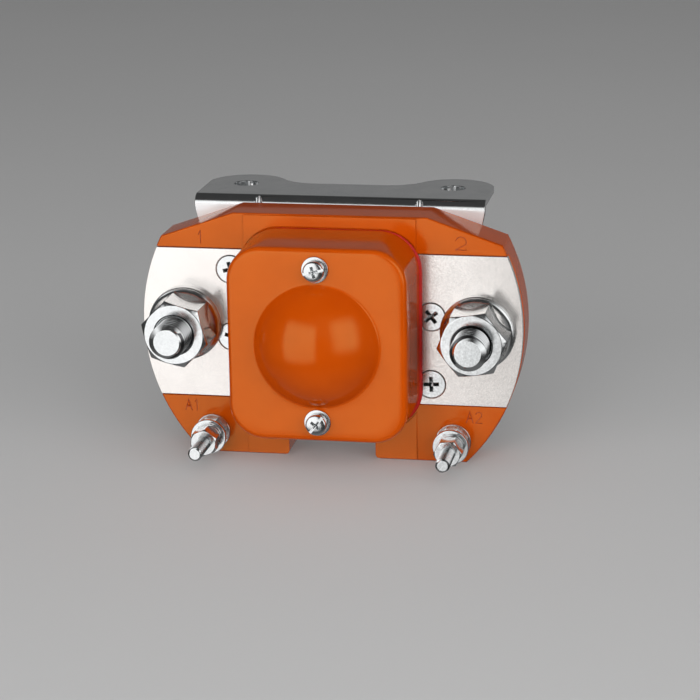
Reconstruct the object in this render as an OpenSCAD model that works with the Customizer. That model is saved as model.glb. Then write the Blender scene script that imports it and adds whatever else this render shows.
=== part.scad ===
// High voltage DC contactor: moulded terminal head with a domed arc cover, two
// main terminal plates, a coil can behind the head and an L-shaped mounting bracket.
//
// Pieces are drawn in the front view of the head: x to the right, y up, z towards
// the viewer, with z = 0 on the front face of the head and the plunger axis at x = y = 0.
// in_place() then turns that drawing upright: +Z up, the front face towards -Y, and the
// origin midway between the two bracket holes, on the bracket's top face.

/* [Head] */
// Radius of the round sides of the head
head_r = 53.6; // [50:0.2:58]
// Height of the flat top above the plunger axis
head_top = 31.6; // [30:0.2:33]
// Half width of the flat top
head_top_half = 27; // [22:0.5:30]
// Slope of the shoulders beside the flat top, in degrees
shoulder_slope = 19; // [12:0.5:24]
// Depth of the flat bottom below the plunger axis
head_bottom = 37.9; // [37:0.2:40]
// Thickness of the head from its front face to the bracket
head_depth = 13.7; // [13:0.1:18]
// Half width of the raised middle strip
strip_half = 24.1; // [20:0.1:25]
// Height of the raised middle strip over the side faces
strip_rise = 0.5; // [0.3:0.1:0.8]
// Half width of the notch between the two feet
notch_half = 12.3; // [8:0.1:14]
// Height of the notch above the bottom
notch_h = 6.4; // [4:0.1:7]
// Radius of the feet's inner corners
notch_corner = 1.6; // [0.5:0.1:3]
// Width of the bevel along the head's front edge
head_bevel = 0.4; // [0.2:0.1:1]

/* [Arc cover] */
// Half width of the cover at its front
cover_front_x = 24.6; // [22:0.1:24.8]
// Half height of the cover at its front
cover_front_y = 26.9; // [26:0.1:27.4]
// Half width of the cover at its base
cover_base_x = 25; // [24.8:0.1:26]
// Half height of the cover at its base
cover_base_y = 27.9; // [27.5:0.1:28.8]
// Corner radius at the front
cover_front_r = 9.6; // [6:0.2:12]
// Corner radius at the base
cover_base_r = 11; // [8:0.2:13]
// Front face of the cover in front of the head's face
cover_front_z = 20.3; // [18:0.1:24]
// Round along the cover's front edge
cover_edge = 1.5; // [0.5:0.1:2.5]
// Wall thickness of the cover
cover_wall = 2.5; // [1.5:0.1:3]
// Radius of the dome where it leaves the cover's front
dome_r = 17.1; // [15:0.1:17.4]
// Height of the dome over the cover's front
dome_h = 9.8; // [7:0.1:12]
// Thickness of the gasket under the cover
gasket_t = 1; // [0.6:0.1:1.5]
// How far the gasket shows round the cover's base
gasket_lip = 0.4; // [0.2:0.1:0.6]
// How far the gasket sits to the right of the cover and below it
gasket_shift = 0.35; // [0:0.05:0.5]
// Width of the gasket's band
gasket_band = 3; // [2:0.1:4]
// Distance of the cover screws above and below the plunger axis
cover_screw_y = 21.3; // [21:0.1:22]

/* [Main terminals] */
// Distance of the main studs in from the head's round sides
stud_inset = 12.5; // [11:0.1:15]
// Height of the terminal plates
plate_h = 42.6; // [38:0.2:46]
// Thickness of the terminal plates
plate_t = 2.7; // [2:0.1:3.5]
// Step from the head's round side in to the plate's edge
plate_inset = 0.15; // [0.1:0.05:1]
// Distance from the plunger axis to a plate's inner end
plate_inner = 8; // [6:0.2:9]
// Clearance round the plates in their pockets
plate_gap = 0.25; // [0.1:0.05:0.4]
// Nominal diameter of the main studs
stud_d = 10; // [8:0.5:12]
// Tip of the main studs in front of the head's face
stud_tip_z = 22.2; // [18:0.1:28]
// Outer diameter of the washers under the main nuts
washer_d = 20.8; // [18:0.1:23]
// Thickness of those washers
washer_t = 2; // [1:0.1:2.5]
// Width across flats of the main nuts
nut_af = 16.8; // [15:0.1:18]
// Flange diameter of the main nuts
nut_flange_d = 20.4; // [20.2:0.1:22]
// Height of the main nuts with their flange
nut_h = 12.3; // [9:0.1:14]
// Distance of the plate screws from the main studs, sideways
plate_screw_in = 13; // [12:0.1:13.4]
// Height of the right plate's upper screw
plate_screw_high = 3.8; // [3:0.1:5]
// Depth of the right plate's lower screw below the axis
plate_screw_low = 15.5; // [14:0.1:16]

/* [Coil terminals] */
// Distance between the two coil studs
coil_stud_pitch = 68.6; // [66:0.2:70]
// Depth of the coil studs below the plunger axis
coil_stud_low = 31.6; // [30:0.1:32]
// Nominal diameter of the coil studs
coil_stud_d = 4; // [3.5:0.5:5]
// Tip of the coil studs in front of the head's face
coil_stud_tip_z = 22; // [18:0.1:26]
// Outer diameter of the flat washers on the coil studs
coil_washer_d = 10; // [9:0.1:11]
// Thickness of those washers
coil_washer_t = 1; // [0.8:0.1:1.2]
// Width across flats of the nuts on the coil studs
coil_nut_af = 7; // [6.8:0.1:8]
// Height of the nuts on the coil studs
coil_nut_h = 4.4; // [3:0.1:5]
// Thickness of the spring washers on the coil studs
coil_spring_washer_t = 1.5; // [1:0.1:1.8]

/* [Bracket] */
// Thickness of the bracket sheet
bracket_t = 2; // [1.5:0.1:2.5]
// Height of the bracket's top face above the plunger axis
bracket_top = 33.5; // [33:0.1:36]
// Outer radius of the bracket's bend
bend_r = 2.8; // [2.6:0.1:4]
// Distance between the bracket holes
hole_pitch = 60; // [58:0.5:62]
// Diameter of the bracket holes
hole_d = 7; // [5:0.5:8]
// Distance from the bracket's front to its holes
hole_back = 16.9; // [16:0.1:22]
// Radius of the ears round the holes
ear_r = 11.6; // [10:0.1:12]
// Setback of the waist's edge behind the holes
waist_back = 1.8; // [0:0.1:4]
// Radius of the sweep from an ear into the waist
waist_sweep = 12; // [8:0.5:14]
// Half width of the bracket at its bend
bend_half = 41.2; // [40:0.1:42]
// Radius of the bracket's lower corners behind the head
flange_corner = 6; // [4:0.2:8]
// Distance of the stiffening darts from the middle
dart_x = 22.8; // [18:0.2:26]
// Radius of the stiffening darts
dart_r = 1; // [0.8:0.1:1.4]
// Slope of the stiffening darts, in degrees
dart_slope = 70; // [60:1:75]

/* [Coil and magnet] */
// Outer diameter of the coil can
can_d = 52; // [47:0.5:58]
// Length of the coil can behind the bracket
can_l = 46; // [42:0.5:54]
// Wall thickness of the coil can
can_t = 2; // [1.5:0.1:2]
// Thickness of the can's mounting rim
rim_t = 1.6; // [1.2:0.1:2]
// How far the rim's flats stand out from the can
rim_out = 1.5; // [1:0.1:2]
// Distance of the frame screws outside the can's wall
frame_screw_out = 4; // [3.8:0.1:5]
// Thickness of the yoke plate in the can's mouth
yoke_t = 3; // [2:0.5:4]
// Diameter of the plunger and of the pole core
plunger_d = 18; // [16:0.5:19]
// Length of the pole core in the can
pole_l = 16; // [12:0.5:20]
// Diameter of the plunger shaft
shaft_d = 6; // [5:0.5:6.5]
// Stroke of the armature from open to closed
stroke = 3; // [2:0.1:3.5]

/* [Contacts] */
// Distance of the contacts from the plunger axis
contact_x = 13.5; // [13:0.1:15]
// Diameter of the contact tips
contact_d = 8; // [6:0.2:8.6]
// Thickness of the fixed contact tips
fixed_tip_t = 1.8; // [1:0.1:2.2]
// Thickness of the moving contact tips
bridge_tip_t = 1.5; // [1:0.1:2]
// Thickness of the contact bridge
bridge_t = 3; // [2:0.1:3.5]
// Width of the contact bridge
bridge_w = 14; // [12:0.2:16]
// Half length of the contact bridge
bridge_half = 18.5; // [18:0.1:19]

/* [Hidden] */
$fn = 64;

// Colours
orange = [0.80, 0.36, 0.07];
gasket_red = [0.55, 0.10, 0.07];
tinned = [0.90, 0.89, 0.86];
zinc = [0.78, 0.80, 0.82];
sheet_zinc = [0.70, 0.73, 0.75];
copper = [0.80, 0.45, 0.28];
enamel_copper = [0.60, 0.25, 0.10];
silver = [0.86, 0.86, 0.84];
iron = [0.55, 0.56, 0.58];
brass = [0.80, 0.66, 0.34];
nylon = [0.88, 0.86, 0.78];
black = [0.12, 0.12, 0.13];

// Clearances
eps = 0.02;          // overlap that keeps a cut clear of a shared face
thread_gap = 0.1;    // radial room of a screw or stud in its hole
seat_gap = 0.05;     // room between parts that only just meet
run_gap = 0.05;      // radial running clearance of the shaft in its bush
slide_gap = 0.1;     // radial clearance of the plunger in its guide tube
pass_gap = 0.4;      // radial room of the plunger through the sheets

// Screw sizes
plate_screw_d = 4;
plate_screw_head = 8;
plate_screw_rim = 0.3;
plate_screw_end = 8;
cover_screw_d = 3;
cover_screw_head = 5.7;
cover_screw_head_h = 2;
cover_screw_end = 8;
cover_washer_d = 7.3;
cover_washer_t = 0.6;
cover_spring_washer_d = 5.6;
cover_spring_washer_t = 0.8;
cover_post_r = 4.2;
frame_screw_d = 4;
frame_screw_head = 7;
frame_screw_head_h = 2.4;
frame_screw_grip = 7;
screw_end_room = 0.6;
recess_w = 1;
recess_depth = 1.3;
slot_w = 0.9;
slot_depth = 0.9;
washer_slit = 0.9;
engaged_share = 0.9;   // pitch diameter of a thread over its nominal diameter
free_gap = 0.2;        // from a nut's front to the free thread of its stud
stud_head_af = 16;
stud_head_h = 5.4;
stud_head_gap = 0.2;
coil_head_h = 3.2;
coil_head_room = 0.7;
coil_pocket_d = coil_nut_af * 2 / sqrt(3) + 2 * coil_head_room;
coil_spring_washer_d = coil_nut_af + 0.6;
lug_t = 0.8;
lug_d = 9;

// Levels along the plunger axis, towards the viewer
cover_z = gasket_t;
bracket_z = -head_depth;
rim_z = bracket_z - bracket_t;
can_end_z = rim_z - can_l;
can_floor_z = can_end_z + can_t;
yoke_z = rim_z - yoke_t;
pole_z = can_floor_z + pole_l;
bush_flange_t = 2;
bush_flange_d = 15;
bush_flange_room = 1;
bush_d = 10;
bush_front_z = -0.6;
bush_seat_z = bracket_z + 4;
buffer_t = 1;
buffer_z = bush_seat_z - bush_flange_t - buffer_t;
plunger_front_z = buffer_z - seat_gap;
air_gap = 0.3;       // gap left between plunger and pole core when closed
plunger_rear_z = pole_z + stroke + air_gap;
bridge_tip_z = fixed_tip_t + stroke + seat_gap;
bridge_z = bridge_tip_z + bridge_tip_t;
bridge_front_z = bridge_z + bridge_t;
bridge_washer_t = 1;
contact_spring_z = bridge_front_z + bridge_washer_t;
contact_spring_l = 7.5;
spring_seat_z = contact_spring_z + contact_spring_l;
spring_seat_t = 1;
clip_z = spring_seat_z + spring_seat_t;
clip_t = 0.8;
clip_d = 11;
groove_depth = 0.7;
groove_d = shaft_d - 2 * groove_depth;
shaft_end = 1.6;
shaft_front_z = clip_z + clip_t + shaft_end;
shaft_grip = 12;
collar_t = 1.5;
collar_step = 1.5;
collar_d = shaft_d + 2 * collar_step;
sleeve_wall = 1.1;
sleeve_d = shaft_d + 2 * sleeve_wall;
sleeve_flange = 3;
sleeve_flange_d = shaft_d + 2 * sleeve_flange;
cover_screw_z = cover_front_z + cover_washer_t + cover_spring_washer_t;

// Return spring between the plunger's and the pole core's pockets
return_spring_d = 7.4;
return_wire_d = 0.9;
spring_pocket_d = 8.6;
plunger_pocket = 10;
pole_pocket = 3;
contact_spring_d = 11;
contact_wire_d = 1.2;
spring_seat_rim = 1;
spring_seat_d = contact_spring_d + 2 * spring_seat_rim;

// Coil
tube_t = 0.5;
tube_d = plunger_d + 2 * slide_gap + 2 * tube_t;
bobbin_gap = 0.1;
bobbin_bore_d = tube_d + 2 * bobbin_gap;
bobbin_wall = 1.2;
bobbin_flange_t = 2;
bobbin_room = 0.5;
bobbin_d = can_d - 2 * can_t - 2 * bobbin_room;
winding_inset = 1;
winding_d = bobbin_d - 2 * winding_inset;
yoke_gap = 0.2;
yoke_d = can_d - 2 * can_t - 2 * yoke_gap;
lead_d = 2;
lead_hole_d = 3.4;
lead_rim = 0.92;     // bobbin flange left outside a lead's hole
lead_y = -6;
lead_r = bobbin_d / 2 - lead_rim - lead_hole_d / 2;
lead_x = sqrt(lead_r * lead_r - lead_y * lead_y);
lead_bury = 0.4;     // how far a lead sinks into its lug
channel_w = lead_d + 0.8;
lug_z = bracket_z + coil_head_h;
channel_z = lug_z - lead_d / 2 + lead_bury;
channel_depth = channel_z + lead_d / 2 + screw_end_room - bracket_z;

// Plates and holes
plate_r = head_r - plate_inset;
stud_x = head_r - stud_inset;
plate_screw_x = stud_x - plate_screw_in;
coil_x = coil_stud_pitch / 2;
pass_d = plunger_d + 2 * pass_gap;
head_bore_room = 0.5;
head_bore_d = pass_d + 2 * head_bore_room;

// Mounting rim of the coil can, and the screws through it
rim_half = can_d / 2 + rim_out;
frame_screw_r = can_d / 2 + frame_screw_out;
frame_screw_xy = frame_screw_r / sqrt(2);
rim_edge = 4;        // rim left outside the frame screws
rim_r = frame_screw_r + rim_edge;
sheet_hole_gap = 0.3;
sheet_hole_d = frame_screw_d + 2 * sheet_hole_gap;
can_corner = 4;
spigot_d = 9;
stake_d = 12;
stake_h = 1.4;

// Bracket outline, with depth measured back from the head's front face
bracket_d = head_depth;
hole_y = bracket_d + hole_back;
waist_d = hole_y + waist_back;
ear_set = 1;         // setback of an ear's centre behind its hole
ear_d = hole_y + ear_set;
sweep_d = waist_d + waist_sweep;
sweep_dx = sqrt(pow(ear_r + waist_sweep, 2) - pow(sweep_d - ear_d, 2));
ear_x = hole_pitch / 2;
sweep_x = ear_x - sweep_dx;
ear_share = ear_r / (ear_r + waist_sweep);
tangent_x = ear_x - sweep_dx * ear_share;
tangent_d = ear_d + (sweep_d - ear_d) * ear_share;
flange_edge = 1;
flange_low = rim_half + flange_edge;
cut_l = 4 * bend_half;   // longer than any piece that it cuts

// Frame

module in_place() {
    translate([0, -hole_y, -bracket_top])
        rotate([90, 0, 0])
            children();
}

// Both signs of x, as separate copies
module left_and_right(x) {
    for (side = [-1, 1])
        translate([side * x, 0, 0])
            children();
}

module at_cover_screws() {
    for (side = [-1, 1])
        translate([0, side * cover_screw_y, 0])
            children();
}

module at_main_studs() {
    left_and_right(stud_x)
        children();
}

module at_coil_studs() {
    translate([0, -coil_stud_low, 0])
        left_and_right(coil_x)
            children();
}

// The right plate's two screws; the left plate is the same, turned half round
module at_right_plate_screws() {
    for (y = [plate_screw_high, -plate_screw_low])
        translate([plate_screw_x, y, 0])
            children();
}

module at_plate_screws() {
    at_right_plate_screws()
        children();
    rotate(180)
        at_right_plate_screws()
            children();
}

module at_frame_screws() {
    for (sx = [-1, 1], sy = [-1, 1])
        translate([sx * frame_screw_xy, sy * frame_screw_xy, 0])
            children();
}

// Shared shapes

module rod(d, z0, z1) {
    translate([0, 0, z0])
        cylinder(d = d, h = z1 - z0);
}

module ring(outer_d, inner_d, z0, z1) {
    difference() {
        rod(outer_d, z0, z1);
        rod(inner_d, z0 - 1, z1 + 1);
    }
}

module slab(z0, z1) {
    translate([0, 0, z0])
        linear_extrude(z1 - z0)
            children();
}

// A flat washer with a small bevel on both outer edges
module flat_washer(outer_d, inner_d, thick) {
    bevel = thick * 0.15;
    outer = outer_d / 2;
    inner = inner_d / 2;
    rotate_extrude()
        polygon([
            [inner, 0], [outer - bevel, 0], [outer, bevel],
            [outer, thick - bevel], [outer - bevel, thick], [inner, thick]
        ]);
}

// A split spring washer with a slanting slit
module spring_washer(outer_d, inner_d, thick) {
    difference() {
        ring(outer_d, inner_d, 0, thick);
        translate([outer_d / 2, 0, thick / 2])
            rotate([30, 0, 0])
                cube([outer_d, washer_slit, thick * 4], center = true);
    }
}

module hexagon(across_flats) {
    circle(d = across_flats * 2 / sqrt(3), $fn = 6);
}

// A hexagon whose front corners are turned off at 30 degrees
module hex_body(across_flats, high) {
    face_share = 0.49;
    corner = across_flats / sqrt(3);
    face = across_flats * face_share;
    intersection() {
        linear_extrude(high)
            hexagon(across_flats);
        rotate_extrude()
            polygon([
                [0, 0], [corner + 1, 0],
                [corner + 1, high - (corner + 1 - face) * tan(30)],
                [face, high], [0, high]
            ]);
    }
}

module plain_nut(across_flats, high, bore_d) {
    difference() {
        hex_body(across_flats, high);
        rod(bore_d, -1, high + 1);
    }
}

// A hex nut with a flange whose cone is hollowed, flat at its rim and steep at the hexagon
module flange_nut(across_flats, high, bore_d, flange_d) {
    rim = 0.9;
    edge = 0.2;
    skirt_share = 0.47;
    bend = 2.4;
    shoulder = across_flats / 2 - edge;
    skirt = high * skirt_share;
    sink = 1.15;
    hollow = [for (share = [0.2 : 0.2 : 0.8])
        [flange_d / 2 - (flange_d / 2 - shoulder) * share, rim + (skirt - rim) * pow(share, bend)]];
    difference() {
        union() {
            hex_body(across_flats, high);
            rotate_extrude()
                polygon(concat(
                    [[0, 0], [flange_d / 2 - edge, 0], [flange_d / 2, edge], [flange_d / 2, rim]],
                    hollow,
                    [[shoulder, skirt], [0, skirt]]
                ));
        }
        rod(bore_d, -1, high + 1);
        translate([0, 0, high - sink])
            cylinder(d1 = bore_d, d2 = bore_d + 2 * sink + eps, h = sink + eps);
    }
}

// A threaded rod with a bevelled tip, from z0 to z1. Up to free_z its thread is held in
// a nut and drawn at the pitch diameter, beyond that it is free and at its full diameter
module stud_shank(d, z0, free_z, z1) {
    tip = d * 0.06;
    held_r = d * engaged_share / 2;
    flat_r = d * 0.36;
    rotate_extrude()
        polygon([
            [0, z0], [held_r, z0], [held_r, free_z], [d / 2, free_z], [d / 2, z1 - tip],
            [flat_r, z1], [0, z1]
        ]);
}

module cross_recess(size, depth) {
    for (turn = [0, 90])
        rotate(turn)
            translate([-size / 2, -recess_w / 2, -depth])
                cube([size, recess_w, depth + 1]);
}

// A pan-head screw with its seat at z = 0, its shank towards -z
module pan_screw(d, head_d, head_h, shank) {
    edge = head_h * 0.4;
    difference() {
        union() {
            rotate_extrude()
                polygon([
                    [0, 0], [head_d / 2, 0], [head_d / 2, head_h - edge],
                    [head_d / 2 - edge, head_h], [0, head_h]
                ]);
            rod(d, -shank, eps);
        }
        translate([0, 0, head_h])
            cross_recess(head_d * 0.55, recess_depth);
        translate([-head_d, -slot_w / 2, head_h - slot_depth])
            cube([2 * head_d, slot_w, head_h]);
    }
}

module rounded_rect(half_x, half_y, r) {
    square([2 * half_x, 2 * (half_y - r)], center = true);
    square([2 * (half_x - r), 2 * half_y], center = true);
    for (sx = [-1, 1], sy = [-1, 1])
        translate([sx * (half_x - r), sy * (half_y - r)])
            circle(r = r);
}

// Points of a compression spring's wire, with one closed turn at each end
function spring_rise(t, turns, wire) =
    t < 1 ? t * wire
    : t > turns - 1 ? 1 - (turns - t) * wire
    : wire + (t - 1) / (turns - 2) * (1 - 2 * wire);

module coil_spring(outer_d, wire_d, length, turns) {
    steps = 16;
    sides = 6;
    r = (outer_d - wire_d) / 2;
    span = length - wire_d;
    count = turns * steps;
    points = [
        for (i = [0 : count], k = [0 : sides - 1])
            let (
                turn = i / steps * 360,
                around = k / sides * 360,
                reach = r + wire_d / 2 * cos(around),
                rise = span * spring_rise(i / steps, turns, wire_d * 1.05 / span)
            )
            [reach * cos(turn), reach * sin(turn), wire_d / 2 + rise + wire_d / 2 * sin(around)]
    ];
    skin = [
        for (i = [0 : count - 1], k = [0 : sides - 1])
            let (
                a = i * sides + k,
                b = i * sides + (k + 1) % sides
            )
            each [[a, a + sides, b], [b, a + sides, b + sides]]
    ];
    caps = [
        [for (k = [0 : sides - 1]) k],
        [for (k = [sides - 1 : -1 : 0]) count * sides + k]
    ];
    polyhedron(points, concat(skin, caps), convexity = 10);
}

// Head

// A bar along x with the head's flat top and bottom, bevelled at the front
module head_bar() {
    rotate([90, 0, 90])
        linear_extrude(cut_l, center = true)
            polygon([
                [-head_bottom, bracket_z], [head_top, bracket_z], [head_top, -head_bevel],
                [head_top - head_bevel, 0], [-head_bottom + head_bevel, 0],
                [-head_bottom, -head_bevel]
            ]);
}

// The round sides, bevelled at the front
module head_disc() {
    rotate_extrude($fn = 160)
        polygon([
            [0, bracket_z], [head_r, bracket_z], [head_r, -head_bevel],
            [head_r - head_bevel, 0], [0, 0]
        ]);
}

// What is cut away over the right shoulder, with the shoulder's own bevel
module shoulder_cut() {
    over = 1;
    translate([head_top_half, head_top, 0])
        rotate(-shoulder_slope)
            rotate([90, 0, 90])
                linear_extrude(head_r)
                    polygon([
                        [0, bracket_z - over], [head_r, bracket_z - over], [head_r, over],
                        [-head_bevel - over, over], [0, -head_bevel]
                    ]);
}

// The middle strip's outline, up to the bevels above and below it
module strip_outline() {
    low = head_bottom - head_bevel;
    translate([-strip_half, -low])
        square([2 * strip_half, low + head_top - head_bevel]);
}

module notch_outline() {
    low = -head_bottom;
    difference() {
        translate([-notch_half - notch_corner, low - 1])
            square([2 * (notch_half + notch_corner), notch_h + 1]);
        left_and_right(notch_half + notch_corner)
            translate([0, low + notch_corner])
                circle(r = notch_corner);
        for (side = [-1, 1])
            translate([side * (notch_half + notch_corner), low + notch_corner + notch_h / 2])
                square([2 * notch_corner, notch_h], center = true);
    }
}

// Outline of the right plate
module plate_outline() {
    intersection() {
        circle(r = plate_r);
        translate([plate_inner, -plate_h / 2])
            square([head_r, plate_h]);
    }
}

module plate_pocket() {
    pocket_reach = plate_inset + 1;
    slab(-plate_t, 1)
        intersection() {
            circle(r = plate_r + pocket_reach);
            translate([plate_inner - plate_gap, -plate_h / 2 - plate_gap])
                square([head_r + 1, plate_h + 2 * plate_gap]);
        }
}

// Outline of the gasket, or of the room round it when grown by a gap
module gasket_outline(grow) {
    edge = gasket_lip + grow;
    translate([gasket_shift, -gasket_shift])
        rounded_rect(cover_base_x + edge, cover_base_y + edge, cover_base_r + edge);
}

module lead_channel() {
    run = [coil_x - lead_x, lead_y + coil_stud_low];
    translate([lead_x, lead_y, bracket_z - 1])
        rotate(-atan2(run[1], run[0]))
            translate([0, -channel_w / 2, 0])
                cube([norm(run), channel_w, channel_depth + 1]);
    translate([lead_x, lead_y, bracket_z - 1])
        cylinder(d = lead_hole_d, h = channel_depth + 1);
}

module head_block() {
    difference() {
        intersection() {
            head_disc();
            head_bar();
        }
        for (flip = [0, 1])
            mirror([flip, 0, 0])
                shoulder_cut();
    }
    slab(-eps, strip_rise)
        difference() {
            strip_outline();
            gasket_outline(plate_gap);
        }
}

module base_housing() {
    color(orange)
        in_place()
            difference() {
                head_block();
                slab(bracket_z - 1, 2)
                    notch_outline();
                plate_pocket();
                rotate(180)
                    plate_pocket();
                at_main_studs()
                    slab(-plate_t - stud_head_h - stud_head_gap, 0)
                        hexagon(stud_head_af + 2 * stud_head_gap);
                at_plate_screws()
                    rod(plate_screw_d + 2 * thread_gap, -plate_screw_end - screw_end_room, 0);
                at_cover_screws()
                    rod(cover_screw_d + 2 * thread_gap, -cover_screw_end - screw_end_room, 1);
                at_coil_studs() {
                    rod(coil_stud_d + 2 * thread_gap, bracket_z - 1, 1);
                    rod(coil_pocket_d, bracket_z - 1, bracket_z + coil_head_h + lug_t + seat_gap);
                }
                at_frame_screws()
                    rod(frame_screw_d + 2 * thread_gap, bracket_z - 1,
                        bracket_z + frame_screw_grip + screw_end_room);
                rod(bush_d + 2 * seat_gap, bracket_z - 1, 1);
                rod(bush_flange_d + 2 * bush_flange_room, bracket_z - 1, bush_seat_z);
                rod(head_bore_d, bracket_z - 1, plunger_front_z + 1);
                for (flip = [0, 1])
                    mirror([flip, 0, 0])
                        lead_channel();
            }
}

// Arc cover

// Solid between two rounded rectangles, with the front edge rounded over
module cover_form(shrink, z0, z1, edge) {
    rounds = 4;
    sliver = 0.01;
    hull() {
        for (sx = [-1, 1], sy = [-1, 1]) {
            translate([sx * (cover_base_x - cover_base_r), sy * (cover_base_y - cover_base_r), z0])
                cylinder(r = cover_base_r - shrink, h = sliver, $fn = 48);
            for (k = [0 : rounds])
                translate([
                    sx * (cover_front_x - cover_front_r),
                    sy * (cover_front_y - cover_front_r),
                    z1 - sliver - edge + edge * sin(k / rounds * 90)
                ])
                    cylinder(r = cover_front_r - shrink - edge * (1 - cos(k / rounds * 90)),
                             h = sliver, $fn = 48);
        }
    }
}

// A ball that stands out of the cover's front by dome_h
module dome_ball(shrink) {
    ball_r = (dome_r * dome_r + dome_h * dome_h) / (2 * dome_h);
    translate([0, 0, cover_front_z + dome_h - ball_r])
        sphere(r = ball_r - shrink, $fn = 96);
}

module dome_cap() {
    intersection() {
        dome_ball(0);
        rod(3 * dome_r, cover_front_z - cover_wall / 2, cover_front_z + dome_h + 1);
    }
}

module arc_cover() {
    color(orange)
        in_place()
            difference() {
                union() {
                    difference() {
                        cover_form(0, cover_z, cover_front_z, cover_edge);
                        cover_form(cover_wall, cover_z - 1, cover_front_z - cover_wall, 0.2);
                    }
                    at_cover_screws()
                        rod(2 * cover_post_r, cover_z, cover_front_z - cover_wall + eps);
                    dome_cap();
                }
                intersection() {
                    dome_ball(cover_wall);
                    rod(3 * dome_r, cover_front_z - cover_wall - 1, cover_front_z + dome_h);
                }
                at_cover_screws()
                    rod(cover_screw_d + 2 * thread_gap, cover_z - 1, cover_front_z + 1);
            }
}

module cover_gasket() {
    color(gasket_red)
        in_place()
            slab(0, gasket_t)
                difference() {
                    union() {
                        difference() {
                            gasket_outline(0);
                            translate([gasket_shift, -gasket_shift])
                                rounded_rect(cover_base_x - gasket_band, cover_base_y - gasket_band,
                                             cover_base_r - gasket_band);
                        }
                        at_cover_screws()
                            circle(r = cover_post_r);
                    }
                    at_cover_screws()
                        circle(d = cover_screw_d + 2 * thread_gap);
                }
}

module cover_screws() {
    color(zinc)
        in_place()
            at_cover_screws()
                translate([0, 0, cover_screw_z])
                    pan_screw(cover_screw_d, cover_screw_head, cover_screw_head_h,
                              cover_screw_z + cover_screw_end);
}

module cover_screw_spring_washers() {
    color(zinc)
        in_place()
            at_cover_screws()
                translate([0, 0, cover_front_z + cover_washer_t])
                    spring_washer(cover_spring_washer_d, cover_screw_d + 2 * thread_gap,
                                  cover_spring_washer_t);
}

module cover_screw_washers() {
    color(zinc)
        in_place()
            at_cover_screws()
                translate([0, 0, cover_front_z])
                    flat_washer(cover_washer_d, cover_screw_d + 2 * thread_gap, cover_washer_t);
}

// Main terminals

module terminal_plate() {
    sink = (plate_screw_head - plate_screw_d) / 2 + plate_screw_rim;
    color(tinned)
        difference() {
            slab(-plate_t, 0)
                plate_outline();
            translate([stud_x, 0, 0])
                rod(stud_d + 2 * thread_gap, -plate_t - 1, 1);
            at_right_plate_screws() {
                rod(plate_screw_d + 2 * thread_gap, -plate_t - 1, 1);
                translate([0, 0, -sink - thread_gap])
                    cylinder(d1 = plate_screw_d, d2 = plate_screw_head + 2 * thread_gap,
                             h = sink - plate_screw_rim);
                rod(plate_screw_head + 2 * thread_gap, -plate_screw_rim - thread_gap - eps, 1);
            }
        }
}

module terminal_plate_right() {
    in_place()
        terminal_plate();
}

module terminal_plate_left() {
    in_place()
        rotate(180)
            terminal_plate();
}

module terminal_stud() {
    color(zinc) {
        slab(-plate_t - stud_head_h, -plate_t)
            hexagon(stud_head_af);
        stud_shank(stud_d, -plate_t - eps, washer_t + nut_h + free_gap, stud_tip_z);
    }
}

module terminal_stud_left() {
    in_place()
        translate([-stud_x, 0, 0])
            terminal_stud();
}

module terminal_stud_right() {
    in_place()
        translate([stud_x, 0, 0])
            terminal_stud();
}

module terminal_washers() {
    color(zinc)
        in_place()
            at_main_studs()
                flat_washer(washer_d, stud_d + 2 * thread_gap, washer_t);
}

// Turn of each nut as it was left when tightened, in degrees
left_nut_turn = 45;
right_nut_turn = 8;
coil_nut_turns = [23, 3];
jam_nut_turn = 10;
plate_screw_turn = 20;

module terminal_nut(turn) {
    color(zinc)
        translate([0, 0, washer_t])
            rotate(turn)
                flange_nut(nut_af, nut_h, stud_d * engaged_share + 2 * thread_gap, nut_flange_d);
}

module terminal_nut_left() {
    in_place()
        translate([-stud_x, 0, 0])
            terminal_nut(left_nut_turn);
}

module terminal_nut_right() {
    in_place()
        translate([stud_x, 0, 0])
            terminal_nut(right_nut_turn);
}

module plate_screw() {
    difference() {
        union() {
            rod(plate_screw_head, -plate_screw_rim, 0);
            translate([0, 0, -plate_screw_rim - (plate_screw_head - plate_screw_d) / 2])
                cylinder(d1 = plate_screw_d, d2 = plate_screw_head,
                         h = (plate_screw_head - plate_screw_d) / 2 + eps);
            rod(plate_screw_d, -plate_screw_end, -plate_screw_rim);
        }
        cross_recess(plate_screw_head * 0.55, recess_depth);
    }
}

module plate_screws() {
    color(zinc)
        in_place()
            at_plate_screws()
                rotate(plate_screw_turn)
                    plate_screw();
}

// Coil terminals

module coil_studs() {
    color(zinc)
        in_place()
            at_coil_studs() {
                slab(bracket_z, bracket_z + coil_head_h)
                    hexagon(coil_nut_af);
                stud_shank(coil_stud_d, bracket_z + coil_head_h - eps,
                           coil_nut_z + coil_nut_h + free_gap, coil_stud_tip_z);
            }
}

module coil_base_washers() {
    color(zinc)
        in_place()
            at_coil_studs()
                flat_washer(coil_washer_d, coil_stud_d + 2 * thread_gap, coil_washer_t);
}

coil_jam_z = coil_washer_t;
coil_washer_z = coil_jam_z + coil_nut_h;
coil_spring_washer_z = coil_washer_z + coil_washer_t;
coil_nut_z = coil_spring_washer_z + coil_spring_washer_t;

module coil_jam_nuts() {
    color(zinc)
        in_place()
            at_coil_studs()
                translate([0, 0, coil_jam_z])
                    rotate(jam_nut_turn)
                        plain_nut(coil_nut_af, coil_nut_h, coil_stud_d * engaged_share + 2 * thread_gap);
}

module coil_washers() {
    color(zinc)
        in_place()
            at_coil_studs()
                translate([0, 0, coil_washer_z])
                    flat_washer(coil_washer_d, coil_stud_d + 2 * thread_gap, coil_washer_t);
}

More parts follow.
